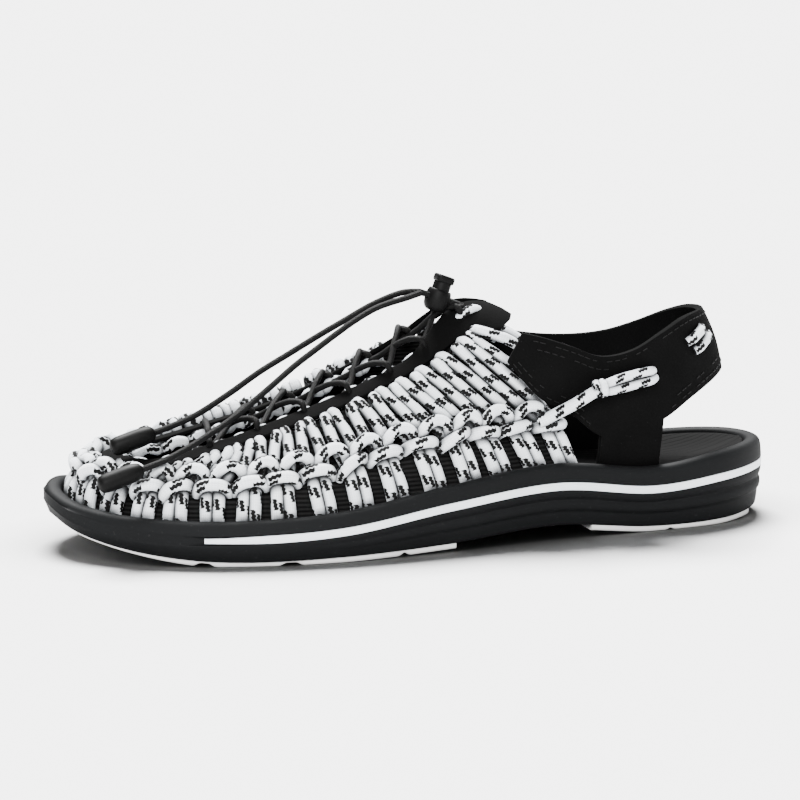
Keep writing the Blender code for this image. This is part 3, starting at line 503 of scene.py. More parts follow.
def add_piece(name, mesh, finish, slot, *nodes, body="sandal"):
    """A finished piece that rides on its body and stands for its solids."""
    piece = bpy.data.objects.new(name, mesh)
    bpy.context.scene.collection.objects.link(piece)
    shoe.objects.link(piece)
    mesh.materials.append(finish)
    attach(piece, body)
    if nodes:
        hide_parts(*nodes)
    return piece


class Shade:
    """A shader value; arithmetic on it adds Math nodes to its material."""

    def __init__(self, tree, socket):
        self.tree = tree
        self.socket = socket

    def math(self, operation, *values):
        node = self.tree.nodes.new("ShaderNodeMath")
        node.operation = operation
        for slot, value in zip(node.inputs, values):
            if isinstance(value, Shade):
                self.tree.links.new(value.socket, slot)
            else:
                slot.default_value = value
        return Shade(self.tree, node.outputs[0])

    def __add__(self, other):
        return self.math("ADD", self, other)

    def __radd__(self, other):
        return self.math("ADD", other, self)

    def __sub__(self, other):
        return self.math("SUBTRACT", self, other)

    def __rsub__(self, other):
        return self.math("SUBTRACT", other, self)

    def __mul__(self, other):
        return self.math("MULTIPLY", self, other)

    def __rmul__(self, other):
        return self.math("MULTIPLY", other, self)

    def __truediv__(self, other):
        return self.math("DIVIDE", self, other)

    def __pow__(self, other):
        return self.math("POWER", self, other)

    def __abs__(self):
        return self.math("ABSOLUTE", self)

    def __lt__(self, other):
        return self.math("LESS_THAN", self, other)

    def __gt__(self, other):
        return self.math("GREATER_THAN", self, other)

    def fract(self):
        return self.math("FRACT", self)

    def wave(self):
        """Triangle wave that falls and rises from 1 to 0 to 1 over each whole step."""
        return abs(self.fract() - 0.5) * 2.0

    def larger(self, other):
        return self.math("MAXIMUM", self, other)

    def smaller(self, other):
        return self.math("MINIMUM", self, other)


class Finish:
    """One procedural material and the nodes that feed its Principled shader."""

    def __init__(self, name, constants):
        self.material = bpy.data.materials.new(name)
        self.material.use_nodes = True
        self.tree = self.material.node_tree
        self.shader = self.tree.nodes["Principled BSDF"]
        for socket, value in constants.items():
            self.shader.inputs[socket].default_value = value

    def node(self, kind, settings=None, sockets=None, output=0):
        """Any node: its settings first, then the values or links of its sockets."""
        node = self.tree.nodes.new(kind)
        for name, value in (settings or {}).items():
            setattr(node, name, value)
        for key, value in (sockets or {}).items():
            if isinstance(value, Shade):
                self.tree.links.new(value.socket, node.inputs[key])
            else:
                node.inputs[key].default_value = value
        return Shade(self.tree, node.outputs[output])

    def place(self, kind="Object"):
        """Coordinates of the surface."""
        return self.node("ShaderNodeTexCoord", output=kind)

    def parts(self, vector):
        """The three values of a vector."""
        outputs = self.node("ShaderNodeSeparateXYZ", sockets={0: vector}).socket.node.outputs
        return [Shade(self.tree, output) for output in outputs]

    def openness(self, reach, samples, gain):
        """How open the surface is within a reach in metres, from 0 deep in a crease to 1; the finishes use it
        to paint shade.
        """
        air = self.node("ShaderNodeAmbientOcclusion", {"samples": samples}, {"Distance": reach}, "AO")
        return (air * gain - CREASE_LEVEL).larger(0.0).smaller(1.0)

    def noise(self, vector, scale, detail=2.0, roughness=0.5):
        sockets = {"Vector": vector, "Scale": scale, "Detail": detail, "Roughness": roughness}
        return self.node("ShaderNodeTexNoise", sockets=sockets)

    def mix(self, factor, first, second):
        """Colour between two colours."""
        sockets = {0: factor, 6: first, 7: second}
        return self.node("ShaderNodeMix", {"data_type": "RGBA"}, sockets, 2)

    def feed(self, name, shade):
        self.tree.links.new(shade.socket, self.shader.inputs[name])

    def bump(self, height, distance, strength=1.0):
        sockets = {"Strength": strength, "Distance": distance, "Height": height}
        self.feed("Normal", self.node("ShaderNodeBump", sockets=sockets))


def tone(value, warm=0.0):
    """A near-grey colour, a little warmer or cooler."""
    return (value * (1.0 + warm), value, value * (1.0 - warm), 1.0)


# The cord's sleeve: each row of flecks has its middle round the cord and its start along the repeat,
# both as shares.
CORD_GIRTH = 2.0 * math.pi * CORD_RADIUS
FLECK_ROWS = [(0.10, 0.0), (0.245, 0.123), (0.43, 0.38), (0.575, 0.503), (0.77, 0.70), (0.915, 0.823)]
FLECK_HALF = 2.0
FLECK_WIDTH = 0.94
FLECK_SLANT = 0.16
CHEVRON = 1.3
CHEVRON_WIDTH = 1.3
KNIT_RIBS = 16.0
KNIT_STITCHES = 11.0
# Painted shade by occlusion: how far and how strongly the creases between cords are coloured darker; the
# level also serves the floor's painted shadow.
CREASE_LEVEL = 0.3
CREASE_REACH = 0.0035
CREASE_SAMPLES = 8
CREASE_GAIN = 1.35
CREASE_POWER = 2.1
# Painted contact shadow: how far and how strongly the floor is coloured darker under the sole.
CONTACT_REACH = 0.035
CONTACT_SAMPLES = 12
CONTACT_GAIN = 1.3
BUNGEE_STRANDS = 10.0
BUNGEE_LAY = 9.0
LINING_RIBS = 620.0
FOOTBED_RING_X = 0.092
FOOTBED_RING_STRETCH = 0.16
FOOTBED_RINGS = 420.0
TREAD_LINES = 260.0
TREAD_ZIGZAGS = 60.0
TREAD_UNDERSIDE = 0.0006


def cord_finish():
    """White braided sleeve with black chevron flecks, a knit with painted shade in its hollows, and painted
    shade in creases.
    """
    finish = Finish("white_cord", {"Roughness": 0.9, "Specular IOR Level": 0.15})
    run, turn = finish.parts(finish.place("UV"))[:2]
    flecks = None
    for centre, phase in FLECK_ROWS:
        length = ((run + phase).fract() - 0.5) * FLECK_REPEAT
        girth = ((turn - centre + run * FLECK_SLANT + 0.5).fract() - 0.5) * CORD_GIRTH
        zigzag = (abs((length / CHEVRON).fract() - 0.5) - 0.25) * CHEVRON_WIDTH
        row = (abs(length) < FLECK_HALF) * (abs(girth - zigzag) < FLECK_WIDTH)
        flecks = row if flecks is None else flecks.larger(row)
    rib = (turn * KNIT_RIBS).wave()
    stitch = (run * KNIT_STITCHES + rib * 0.5).wave()
    knit = rib * 0.5 + stitch * 0.5
    # Painted shade: occlusion colours the cords darker in the creases between them and where they lie against
    # the lining.
    opened = finish.openness(CREASE_REACH, CREASE_SAMPLES, CREASE_GAIN)
    # Painted shade: the knit's hollows are coloured darker than its crests, following the knit's bump height.
    white = finish.mix(knit, tone(0.60, -0.05), tone(0.84, -0.03))
    shaded = finish.mix(opened ** CREASE_POWER, tone(0.02, -0.06), white)
    finish.feed("Base Color", finish.mix(flecks, shaded, tone(0.003)))
    finish.bump(knit, 0.00025, 0.6)
    return finish.material


def bungee_finish():
    """Black woven sleeve of the elastic lace, with painted shade between its strands."""
    finish = Finish("black_bungee", {"Roughness": 0.6, "Specular IOR Level": 0.08})
    run, turn = finish.parts(finish.place("UV"))[:2]
    strand = (turn * BUNGEE_STRANDS + run * BUNGEE_LAY).wave()
    counter = (turn * BUNGEE_STRANDS - run * BUNGEE_LAY).wave()
    weave = strand.larger(counter)
    # Painted shade: the hollows between the strands are coloured darker than the strands' crests.
    finish.feed("Base Color", finish.mix(weave, tone(0.001), tone(0.0028)))
    finish.bump(weave, 0.0002, 0.7)
    return finish.material


def foam_finish():
    """Black moulded foam of the sole: satin, with a fine grain and a few pale specks."""
    finish = Finish("black_eva", {"Specular IOR Level": 0.05})
    vector = finish.place()
    grain = finish.noise(vector, 1500.0, 2.0)
    cloud = finish.noise(vector, 45.0, 3.0)
    specks = finish.noise(vector, 900.0, 0.0) > 0.80
    dark = finish.mix(cloud, tone(0.0044, -0.06), tone(0.0062, -0.06))
    finish.feed("Base Color", finish.mix(specks * 0.07, dark, tone(0.06)))
    finish.feed("Roughness", 0.6 + cloud * 0.15)
    finish.bump(grain, 0.0001, 0.35)
    return finish.material


def footbed_finish():
    """Matte footbed foam with contour grooves that close round the heel, with painted shade in the grooves.
    """
    finish = Finish("black_footbed", {"Roughness": 0.85, "Specular IOR Level": 0.03})
    vector = finish.place()
    x, y = finish.parts(vector)[:2]
    wander = finish.noise(vector, 28.0, 3.0)
    reach = (x - FOOTBED_RING_X) * FOOTBED_RING_STRETCH
    ring = (reach * reach + y * y) ** 0.5
    groove = (ring * FOOTBED_RINGS + wander * 3.0).wave()
    line = groove < 0.2
    grain = finish.noise(vector, 900.0, 2.0)
    black = finish.mix(wander, tone(0.0025), tone(0.0045))
    # Painted shade: the bottoms of the contour grooves are coloured darker.
    finish.feed("Base Color", finish.mix(line, black, tone(0.001)))
    finish.bump(groove.smaller(0.3) * 2.0 + grain * 0.3, 0.0003, 0.6)
    return finish.material


def plain_finish(name, constants, cloud, tones, grain=None, bump=None, gloss=None):
    """Finish with a soft cloud between two tones, a fine grain and a roughness that follows the cloud."""
    finish = Finish(name, constants)
    vector = finish.place()
    share = finish.noise(vector, *cloud)
    finish.feed("Base Color", finish.mix(share, *tones))
    if gloss:
        finish.feed("Roughness", gloss[0] + share * gloss[1])
    if grain:
        finish.bump(finish.noise(vector, *grain), *bump)
    return finish.material


def band_finish():
    """White side band, slightly satin."""
    return plain_finish("white_stripe", {"Roughness": 0.45, "Specular IOR Level": 0.3}, cloud=(60.0, 3.0),
                        tones=(tone(0.70, -0.04), tone(0.84, -0.04)), grain=(800.0,), bump=(0.0001, 0.2))


def tread_finish():
    """Off-white tread rubber with fine cross lines."""
    finish = Finish("white_rubber", {"Roughness": 0.6, "Specular IOR Level": 0.25})
    vector = finish.place()
    x, y, z = finish.parts(vector)
    cloud = finish.noise(vector, 40.0, 3.0)
    lines = (x * TREAD_LINES + (y * TREAD_ZIGZAGS).wave() * 0.8).wave()
    under = z < TREAD_UNDERSIDE
    finish.feed("Base Color", finish.mix(cloud, tone(0.62, 0.01), tone(0.74, 0.01)))
    finish.bump(lines.smaller(0.35) * under + finish.noise(vector, 700.0) * 0.05, 0.0009, 0.8)
    return finish.material


def microfibre_finish():
    """Matte brushed microfibre with a short nap."""
    return plain_finish("black_microfibre", {"Roughness": 0.95, "Specular IOR Level": 0.03},
                        cloud=(90.0, 3.0), tones=(tone(0.0014), tone(0.0026)),
                        grain=(1300.0, 3.0, 0.7), bump=(0.00025, 0.5))


def lining_finish():
    """Black knitted lining with level ribs, painted lighter on their crests and darker in their hollows as
    painted highlight and shade.
    """
    finish = Finish("black_lining", {"Roughness": 0.95, "Specular IOR Level": 0.03})
    vector = finish.place()
    height = finish.parts(vector)[2]
    rib = (height * LINING_RIBS + finish.noise(vector, 60.0) * 0.6).wave()
    # Painted highlight and shade: the colour follows the ribs' height, lighter on the crests and darker
    # between them.
    finish.feed("Base Color", finish.mix(rib, tone(0.0016), tone(0.011)))
    finish.bump(rib, 0.0004, 0.8)
    return finish.material


def thread_finish():
    """Black sewing thread with a slight shine."""
    return plain_finish("black_thread", {"Roughness": 0.6, "Specular IOR Level": 0.1}, cloud=(600.0,),
                        tones=(tone(0.002), tone(0.007)))


def moulding_finish():
    """Matte black moulded plastic with a fine eroded grain."""
    return plain_finish("black_moulding", {"Specular IOR Level": 0.065}, cloud=(150.0, 2.0),
                        tones=(tone(0.001), tone(0.0022)), grain=(1100.0, 2.0), bump=(0.00012, 0.4),
                        gloss=(0.44, 0.2))


def floor_finish():
    """Pale floor with a painted contact shadow, darker where the sole is close above it."""
    finish = Finish("pale_floor", {"Roughness": 0.9, "Specular IOR Level": 0.0})
    cloud = finish.noise(finish.place(), 3.0, 2.0)
    # Painted shadow: occlusion colours the floor darker under and beside the sole.
    opened = finish.openness(CONTACT_REACH, CONTACT_SAMPLES, CONTACT_GAIN)
    pale = finish.mix(cloud, tone(0.90), tone(0.92))
    finish.feed("Base Color", finish.mix(opened, tone(0.17), pale))
    return finish.material


CAMERA_AZIMUTH = math.radians(-18.5)
CAMERA_ELEVATION = math.radians(10.0)
CAMERA_DISTANCE = 1400.0
CAMERA_LENS = 163.32
CAMERA_SENSOR = 36.0
CAMERA_TARGET = (-5.82, 0.0, 51.1)
SKY_STRENGTH = 0.24
FLOOR_REACH = 6.0


def make_camera():
    azimuth, elevation = CAMERA_AZIMUTH, CAMERA_ELEVATION
    back = Vector((math.sin(azimuth) * math.cos(elevation), -math.cos(azimuth) * math.cos(elevation),
                   math.sin(elevation)))
    camera = bpy.data.objects.new("camera", bpy.data.cameras.new("camera"))
    camera.data.lens = CAMERA_LENS
    camera.data.sensor_width = CAMERA_SENSOR
    camera.location = placed(CAMERA_TARGET) + back * CAMERA_DISTANCE * MM
    camera.rotation_euler = (-back).to_track_quat("-Z", "Y").to_euler()
    bpy.context.scene.collection.objects.link(camera)
    bpy.context.scene.camera = camera


def soft_light(name, kind, place, energy, only=None, **settings):
    """A light aimed at the shoe from a place in metres, kept to a collection if one is given."""
    lamp = bpy.data.lights.new(name, kind)
    lamp.energy = energy
    for setting, value in settings.items():
        setattr(lamp, setting, value)
    made = bpy.data.objects.new(name, lamp)
    if only:
        made.light_linking.receiver_collection = only
    made.location = Vector(place)
    made.rotation_euler = (-Vector(place)).to_track_quat("-Z", "Y").to_euler()
    bpy.context.scene.collection.objects.link(made)


def make_studio():
    """Plain pale floor, white surround and large soft lights."""
    world = bpy.data.worlds.new("studio")
    world.use_nodes = True
    sky = world.node_tree.nodes["Background"]
    sky.inputs["Color"].default_value = (1.0, 1.0, 1.0, 1.0)
    sky.inputs["Strength"].default_value = SKY_STRENGTH
    bpy.context.scene.world = world
    soft_light("softbox_top", "SUN", place=(0.1, 0.7, 1.15), energy=21.0, angle=math.radians(28.0))
    soft_light("softbox_front", "AREA", place=(-0.5, -1.15, 0.85), energy=60.0, only=shoe, size=0.8)
    soft_light("softbox_heel", "AREA", place=(1.2, 0.35, 0.3), energy=7.0, only=shoe, size=0.5)
    corners = [(-1.0, -1.0), (1.0, -1.0), (1.0, 1.0), (-1.0, 1.0)]
    mesh = bpy.data.meshes.new("floor")
    mesh.from_pydata([(x * FLOOR_REACH, y * FLOOR_REACH, 0.0) for x, y in corners], [], [(0, 1, 2, 3)])
    mesh.materials.append(floor_finish())
    floor = bpy.data.objects.new("floor", mesh)
    bpy.context.scene.collection.objects.link(floor)


TAIL_SPACING = 1.5
TAIL_SIDES = 12


def make_tail(label, route, side, bungee, moulding):
    """Free end of the bungee from the lock's mouth, with its moulded cap."""
    start = lock_cord_point(LOCK_REACH + TAIL_GAP, side)
    points = smooth_route([start] + route, TAIL_SPACING)
    stock = Stock()
    stock.tube(points, BUNGEE_RADIUS, TAIL_SIDES)
    name = f"lace_tail_{label}"
    tail = stock.piece(f"{name}_sleeve", bungee, "black_bungee", name)
    length = sum((second - first).length for first, second in zip(points, points[1:]))
    tip = make_tip(label, points, moulding)
    placed(points[0])
    [placed(point) for point in points]


TIP_SIDES = 32
TIP_OVERLAP = 0.2
TIP_PROFILE = [
    (0.0, 1.5), (0.2, 1.75), (0.8, 2.55), (1.6, 2.95), (2.6, 3.25), (4.0, 3.5), (6.5, 3.66), (9.0, 3.7),
    (13.0, 3.68), (15.0, 3.58), (16.2, 3.35), (17.0, 2.95), (17.6, 2.3), (17.9, 1.5), (18.0, 0.5),
]


def make_tip(label, tail, moulding):
    """Moulded end cap in line with the end of its cord."""
    heading = (tail[-1] - tail[-2]).normalized()
    start = tail[-1] - heading * TIP_OVERLAP
    side = heading.cross(UP).normalized()
    lift = side.cross(heading)
    rows = []
    for reach, radius in TIP_PROFILE:
        rows.append(circle(start + heading * reach, side, lift, radius, TIP_SIDES))
    stock = Stock()
    stock.loft(rows)
    name = f"lace_tip_{label}"
    return stock.piece(f"{name}_cap", moulding, "black_moulding", name)


FOREFOOT_DRAFT = 2.1
FOREFOOT_DRAFT_POWER = 1.4
RIB_SPAN = (-70.0, 30.0)
GROOVE_LEAST_DEPTH = 0.1
BAND_CLEARANCE = 1.85
RIM_SHOULDER = 2.1
SOLE_RING = 260
SOLE_TURNS = [step / SOLE_RING for step in range(SOLE_RING)]
CUP_COLUMNS = 16
UNDERSIDE_COLUMNS = 4
CUP_LEAST_WIDTH = 12.0

# Levels of the sole's side from its underside up and over the rim into the cup: the inset, what the
# height is counted from, and the height. A wall height is a share of the way from the underside to
# the band, an upper one of the way from the band to the rim, and the others are millimetres.
WALL_LEVELS = [
    (2.4, "wall", 0.0), (2.1, "wall", 0.02), (1.85, "wall", 0.08), (1.7, "wall", 0.16),
    (1.5, "wall", 0.27), (1.36, "wall", 0.36), (1.3, "wall", 0.41), (0.92, "wall", 0.44),
    (0.58, "wall", 0.475), (0.40, "wall", 0.53), (0.36, "wall", 0.59), (0.48, "wall", 0.655),
    (0.95, "wall", 0.70), (1.30, "wall", 0.735), (1.12, "wall", 0.77), (0.62, "wall", 0.80),
    (0.35, "wall", 0.85), (0.12, "wall", 0.92), (0.02, "stripe", -BAND_CLEARANCE), (0.10, "stripe", -1.62),
    (0.0, "groove", -1.52), (0.0, "groove", 1.52), (0.10, "stripe", 1.62), (0.0, "stripe", BAND_CLEARANCE),
    (0.05, "upper", 0.25), (0.15, "upper", 0.5), (0.30, "upper", 0.75), (0.55, "rim", RIM_SHOULDER),
    (0.85, "rim", 1.35), (1.35, "rim", 0.72), (2.2, "rim", 0.25), (3.3, "rim", 0.12), (4.6, "rim", 0.22),
    (5.7, "rim", 0.5), (6.4, "rim", 1.0), (6.75, "rim", 1.8), (7.0, "rim", 3.2), (7.0, "rim", CUP_DROP),
]


def wall_point(turn, level_inset, kind, height):
    """Point of the sole's side at one level of its profile."""
    depth = level_inset
    x = outline(turn).x
    if kind == "wall":
        smooth = FOREFOOT_DRAFT * (1.0 - height) ** FOREFOOT_DRAFT_POWER
        depth = smooth + (depth - smooth) * ease(*RIB_SPAN, x)
    if kind == "groove":
        depth += GROOVE_LEAST_DEPTH + STRIPE_DEPTH * ease(STRIPE_START_X - STRIPE_RAMP, STRIPE_START_X, x)
    flat = inset(turn, depth)
    middle = stripe_middle(turn)
    base = sole_base(flat.x)
    rim = rim_top(turn)
    if kind == "rim":
        z = rim - height
    elif kind == "upper":
        low = middle + BAND_CLEARANCE
        z = low + (rim - RIM_SHOULDER - low) * height
    elif kind == "wall":
        z = base + height * (middle - BAND_CLEARANCE - base)
    else:
        z = middle + height
    return Vector((flat.x, flat.y, z))


def cap_rows(ring, columns, height):
    """Rows from the lateral to the medial half of a ring, at the given heights."""
    half = len(ring) // 2
    rows = []
    for index in range(half + 1):
        start, end = Vector(ring[index]), Vector(ring[-index % len(ring)])
        row = []
        for column in range(columns + 1):
            share = column / columns
            spot = start.lerp(end, share)
            if 0 < index < half and 0 < column < columns:
                spot.z = height(spot.x, share)
            row.append(spot)
        rows.append(row)
    return rows


def weld(mesh):
    """Join points that lie on each other."""
    bm = bmesh.new()
    bm.from_mesh(mesh)
    bmesh.ops.remove_doubles(bm, verts=bm.verts, dist=1e-6)
    bmesh.ops.recalc_face_normals(bm, faces=bm.faces)
    bm.to_mesh(mesh)
    bm.free()


def add_sole_piece(name, loops, top, under, under_columns, finish, slot, node):
    """Piece of the sole from the loops of its side and the heights of its top and underside."""
    stock = Stock()
    stock.skin(loops)
    stock.skin(cap_rows(loops[-1], CUP_COLUMNS, top), is_ring=False)
    stock.skin(cap_rows(loops[0], under_columns, under), is_ring=False)
    mesh = stock.mesh(name, SOLE_SHARP_ANGLE)
    weld(mesh)
    add_piece(name, mesh, finish, slot, node)


def make_midsole(foam):
    """Moulded cup sole with its ribbed side, the groove for the band and its rim."""
    def cup_height(x, share):
        return footbed_height(x, share) - CUP_DROP + INSOLE_EDGE_DROP

    def under_height(x, share):
        return sole_base(x)

    loops = [[wall_point(turn, *level) for turn in SOLE_TURNS] for level in WALL_LEVELS]
    add_sole_piece("midsole_foam", loops, cup_height, under_height, UNDERSIDE_COLUMNS,
                   foam, "black_eva", "midsole")


# The insole's edge from below to its top: drop from the top and inset past its outline.
INSOLE_EDGE = [(INSOLE_THICKNESS, 0.0), (0.9, 0.0), (0.4, 0.15), (0.12, 0.45), (0.0, 0.9)]
INSOLE_MOST_MARGIN = 0.4


def insole_inset(turn):
    station = 2.0 * min(turn % 1.0, 1.0 - turn % 1.0)
    front = 1.0 - ease(SLOT_END, SLOT_END + SLOT_FADE, station)
    return CUP_INSET + INSOLE_GAP + (SLOT_WIDTH - INSOLE_GAP) * front


def cup_width(x):
    station = station_at(x)
    span = outline(1.0 - 0.5 * station).y - outline(0.5 * station).y
    return max(span - 2.0 * CUP_INSET, CUP_LEAST_WIDTH)


def make_insole(footbed):
    """Footbed with rounded edges, cupped up at its sides."""
    def edge_share(turn, distance):
        share = min((distance - CUP_INSET) / cup_width(outline(turn).x), 0.5)
        return share if turn < 0.5 else 1.0 - share

    def inner_height(x, share):
        margin = (insole_inset(0.5 * station_at(x)) - CUP_INSET) / cup_width(x)
        margin = min(margin, INSOLE_MOST_MARGIN)
        return footbed_height(x, margin + share * (1.0 - 2.0 * margin))

    def under_height(x, share):
        return inner_height(x, share) - INSOLE_THICKNESS

    loops = []
    for drop, extra in INSOLE_EDGE:
        loop = []
        for turn in SOLE_TURNS:
            distance = insole_inset(turn) + extra
            flat = inset(turn, distance)
            height = footbed_height(flat.x, edge_share(turn, distance)) - drop
            loop.append(Vector((flat.x, flat.y, height)))
        loops.append(loop)
    add_sole_piece("insole_foam", loops, inner_height, under_height, CUP_COLUMNS,
                   footbed, "black_footbed", "insole")


# The band's section: share of its half height, and inset from the sole's outline.
STRIPE_PROFILE = [
    (-1.0, 0.25), (-0.94, 0.02), (-0.6, -0.06), (-0.1, -0.08), (0.3, -0.02), (0.38, 0.05),
    (0.46, -0.04), (0.75, -0.05), (0.95, 0.02), (1.0, 0.25), (1.0, 0.9), (-1.0, 0.9),
]
STRIPE_STEPS = 420
STRIPE_TAPER_STEPS = 16.0
STRIPE_END_SHARE = 0.6


def make_stripe(band):
    """White inlay round the heel, crowned, with a crease along its upper third."""
    turns = [step / STRIPE_STEPS for step in range(STRIPE_STEPS + 1)]
    turns = [turn for turn in turns if outline(turn).x > STRIPE_START_X]
    rows = []
    for index, turn in enumerate(turns):
        from_end = min(index, len(turns) - 1 - index)
        taper = STRIPE_END_SHARE + (1.0 - STRIPE_END_SHARE) * ease(0.0, STRIPE_TAPER_STEPS, from_end)
        row = []
        for height, depth in STRIPE_PROFILE:
            flat = inset(turn, depth)
            row.append(Vector((flat.x, flat.y, stripe_middle(turn) + height * STRIPE_HALF * taper)))
        rows.append(row)
    stock = Stock()
    stock.loft(rows)
    stock.piece("side_stripe_inlay", band, "white_stripe", "side_stripe")


FOREFOOT_LUGS = [(-138.0, -101.0), (-92.5, -69.5), (-60.0, -22.0), (-17.0, 2.0)]
HEEL_LUGS = [(60.0, 92.0), (96.0, 135.0)]
TREAD_PROFILE = [(0.0, 0.0), (0.0, 0.55), (0.12, 0.8), (0.4, 0.95), (0.9, 1.0)]
LUG_RAMP = 3.0
FLEX_GROOVE_SHARE = 0.36
TOE_TREAD_SHARE = 0.3
TOE_TREAD_SPAN = (-138.0, -92.0)
TREAD_SPACING = 0.9
TREAD_SEAT = 0.05


def tread_depth(x, lugs):
    """Share of the tread's full depth: 1 under a lug, less in a flex groove and towards the toe."""
    lug = 0.0
    for front, back in lugs:
        lug = max(lug, min(ease(front - LUG_RAMP, front, x), 1.0 - ease(back, back + LUG_RAMP, x)))
    toe = TOE_TREAD_SHARE + (1.0 - TOE_TREAD_SHARE) * ease(*TOE_TREAD_SPAN, x)
    return (FLEX_GROOVE_SHARE + (1.0 - FLEX_GROOVE_SHARE) * lug) * toe


def make_tread(name, lugs, rubber):
    """Tread from its first to its last lug, sunk in the flex grooves between them."""
    front, back = lugs[0][0], lugs[-1][1]
    steps = round((back - front) / TREAD_SPACING)
    rows = []
    for step in range(steps + 1):
        x = front + (back - front) * step / steps
        station = station_at(x)
        row = []
        for turn, order in ((0.5 * station, 1), (1.0 - 0.5 * station, -1)):
            for inner, depth in TREAD_PROFILE[::order]:
                flat = inset(turn, OUTSOLE_INSET + inner)
                top = sole_base(flat.x) - TREAD_SEAT
                under = max(0.0, sole_base(flat.x) - OUTSOLE_THICKNESS)
                reach = (top - under) * depth * tread_depth(x, lugs)
                row.append(Vector((flat.x, flat.y, top - reach)))
        rows.append(row)
    stock = Stock()
    stock.loft(rows)
    stock.piece(f"{name}_rubber", rubber, "white_rubber", name)


def signed_chart():
    """Bundles from the lateral ankle round the toe to the medial ankle."""
    lateral = [BundleRow(-row.foot, -row.band, -row.loop) for row in WEAVE_CHART[:0:-1]]
    return lateral + list(WEAVE_CHART)


# One leg of a doubled cord: where it is between its marks, as a mix of foot, band and loop, with
# its distance from the bundle's middle, its lift over the last and a step up the wall.
LegMark = namedtuple("LegMark", "foot band loop apart lift step")
LEG_MARKS = [
    LegMark(1.0, 0.0, 0.0, 2.1, -0.6, -6.0),
    LegMark(1.0, 0.0, 0.0, 2.2, -0.2, -1.0),
    LegMark(0.72, 0.28, 0.0, 2.25, 0.2, 0.0),
    LegMark(0.35, 0.65, 0.0, 2.2, 0.0, 0.0),
    LegMark(0.08, 0.92, 0.0, 2.1, -0.5, 0.0),
    LegMark(0.0, 0.92, 0.08, 2.8, -0.3, 0.0),
    LegMark(0.0, 0.72, 0.28, 3.3, 0.4, 0.0),
    LegMark(0.0, 0.42, 0.58, 3.0, 1.6, 0.0),
    LegMark(0.0, 0.16, 0.84, 2.35, 2.9, -1.5),
    LegMark(0.0, 0.0, 1.0, 2.0, 3.9, -3.6),
    LegMark(0.0, 0.0, 1.0, 1.75, 3.7, -2.2),
    LegMark(0.0, 0.0, 1.0, 1.5, 2.2, -1.1),
    LegMark(0.0, 0.0, 1.0, 1.4, -0.4, -0.7),
]
LEG_JITTER = 0.18
LOOP_SLANT = 0.5
LOOP_DRAW = 0.1
LOOP_DRAW_SPAN = (0.6, 0.86)
FAR_LOOP_RISE = 2.6
FAR_LOOP_SPAN = (0.5, 0.66)
FAR_LOOP_LEAST_LIFT = 1.0


def leg_radius(share):
    """The cord draws in where its loop turns over the eyestay's edge."""
    return CORD_RADIUS - LOOP_DRAW * ease(*LOOP_DRAW_SPAN, share)


def leg_route(row, sign, rng):
    """One leg of a doubled cord; the loops of the far side stand higher over the throat."""
    points = []
    for mark in LEG_MARKS:
        place = mark.foot * row.foot + mark.band * row.band + mark.loop * row.loop
        rise = mark.band * last_value("braid", place) + mark.loop * last_value(LOW_EDGE, place)
        jitter = rng.uniform(-LEG_JITTER, LEG_JITTER)
        step = mark.step + LOOP_SLANT * mark.loop * sign * math.copysign(1.0, row.loop)
        lift = mark.lift
        if row.loop > 0.0 and lift > FAR_LOOP_LEAST_LIFT:
            lift += FAR_LOOP_RISE * mark.loop * (1.0 - ease(*FAR_LOOP_SPAN, row.loop))
        points.append(over_last(place, rise, lift, sign * mark.apart + jitter, step))
    return points


# The twined band: a level bar lies in front of each doubled cord and an arc rises over each space.
# A bar's marks are shares of its half length and lifts; an arc's are shares of the pitch, heights
# over the bars' middle line and lifts.
BAR_MARKS = [
    (-1.34, -1.6), (-1.2, 1.4), (-0.92, 3.6), (-0.5, 4.7), (0.0, 5.0), (0.5, 4.7), (0.92, 3.6), (1.2, 1.4),
    (1.34, -1.6),
]
ARC_MARKS = [
    (-0.1, 0.2, -1.0), (-0.02, 2.4, 2.6), (0.1, 5.0, 4.4), (0.27, 6.9, 4.9), (0.46, 7.6, 5.1),
    (0.65, 6.9, 4.9), (0.8, 4.8, 3.9), (0.88, 2.2, 1.6), (0.92, 0.2, -1.0),
]
BAND_DROP = 2.3
BAR_HALF = 4.5
BAR_PITCH_SHARE = 0.56
BAR_TUCK = 1.8
TOE_ARC_SHARE = 0.6
TOE_ARC_SPAN = (0.06, 0.26)
BAR_TURNS = [4.0, 10.0, 2.0, 26.0, 8.0, 14.0, 34.0, 6.0]


def band_point(place, level, upward, lift):
    """Point on the twined band, moved by level millimetres to the heel, up the wall and outward."""
    braid = last_value("braid", place)
    run, out = last_frame(place, braid)[::2]
    heelward = out.cross(UP).normalized()
    if heelward.dot(run) * place < 0.0:
        heelward = -heelward
    up = heelward.cross(out)
    if up.z < 0.0:
        up = -up
    return last_point(place, braid) + heelward * level + up * (upward - BAND_DROP) + out * lift


def bar_route(place, pitch, turn):
    """Bar in front of a doubled cord, turned by some degrees from the level."""
    half = min(BAR_HALF, BAR_PITCH_SHARE * pitch - BAR_TUCK)
    slope = math.radians(turn)
    points = []
    for share, lift in BAR_MARKS:
        reach = share * half
        points.append(band_point(place, reach * math.cos(slope), reach * math.sin(slope), lift))
    return points


def arc_route(start, end):
    """Arc over the space between two doubled cords, lower round the toe."""
    rise = TOE_ARC_SHARE + (1.0 - TOE_ARC_SHARE) * ease(*TOE_ARC_SPAN, abs(end))
    points = []
    for share, height, lift in ARC_MARKS:
        points.append(band_point(start + (end - start) * share, 0.0, height * rise, lift))
    return points


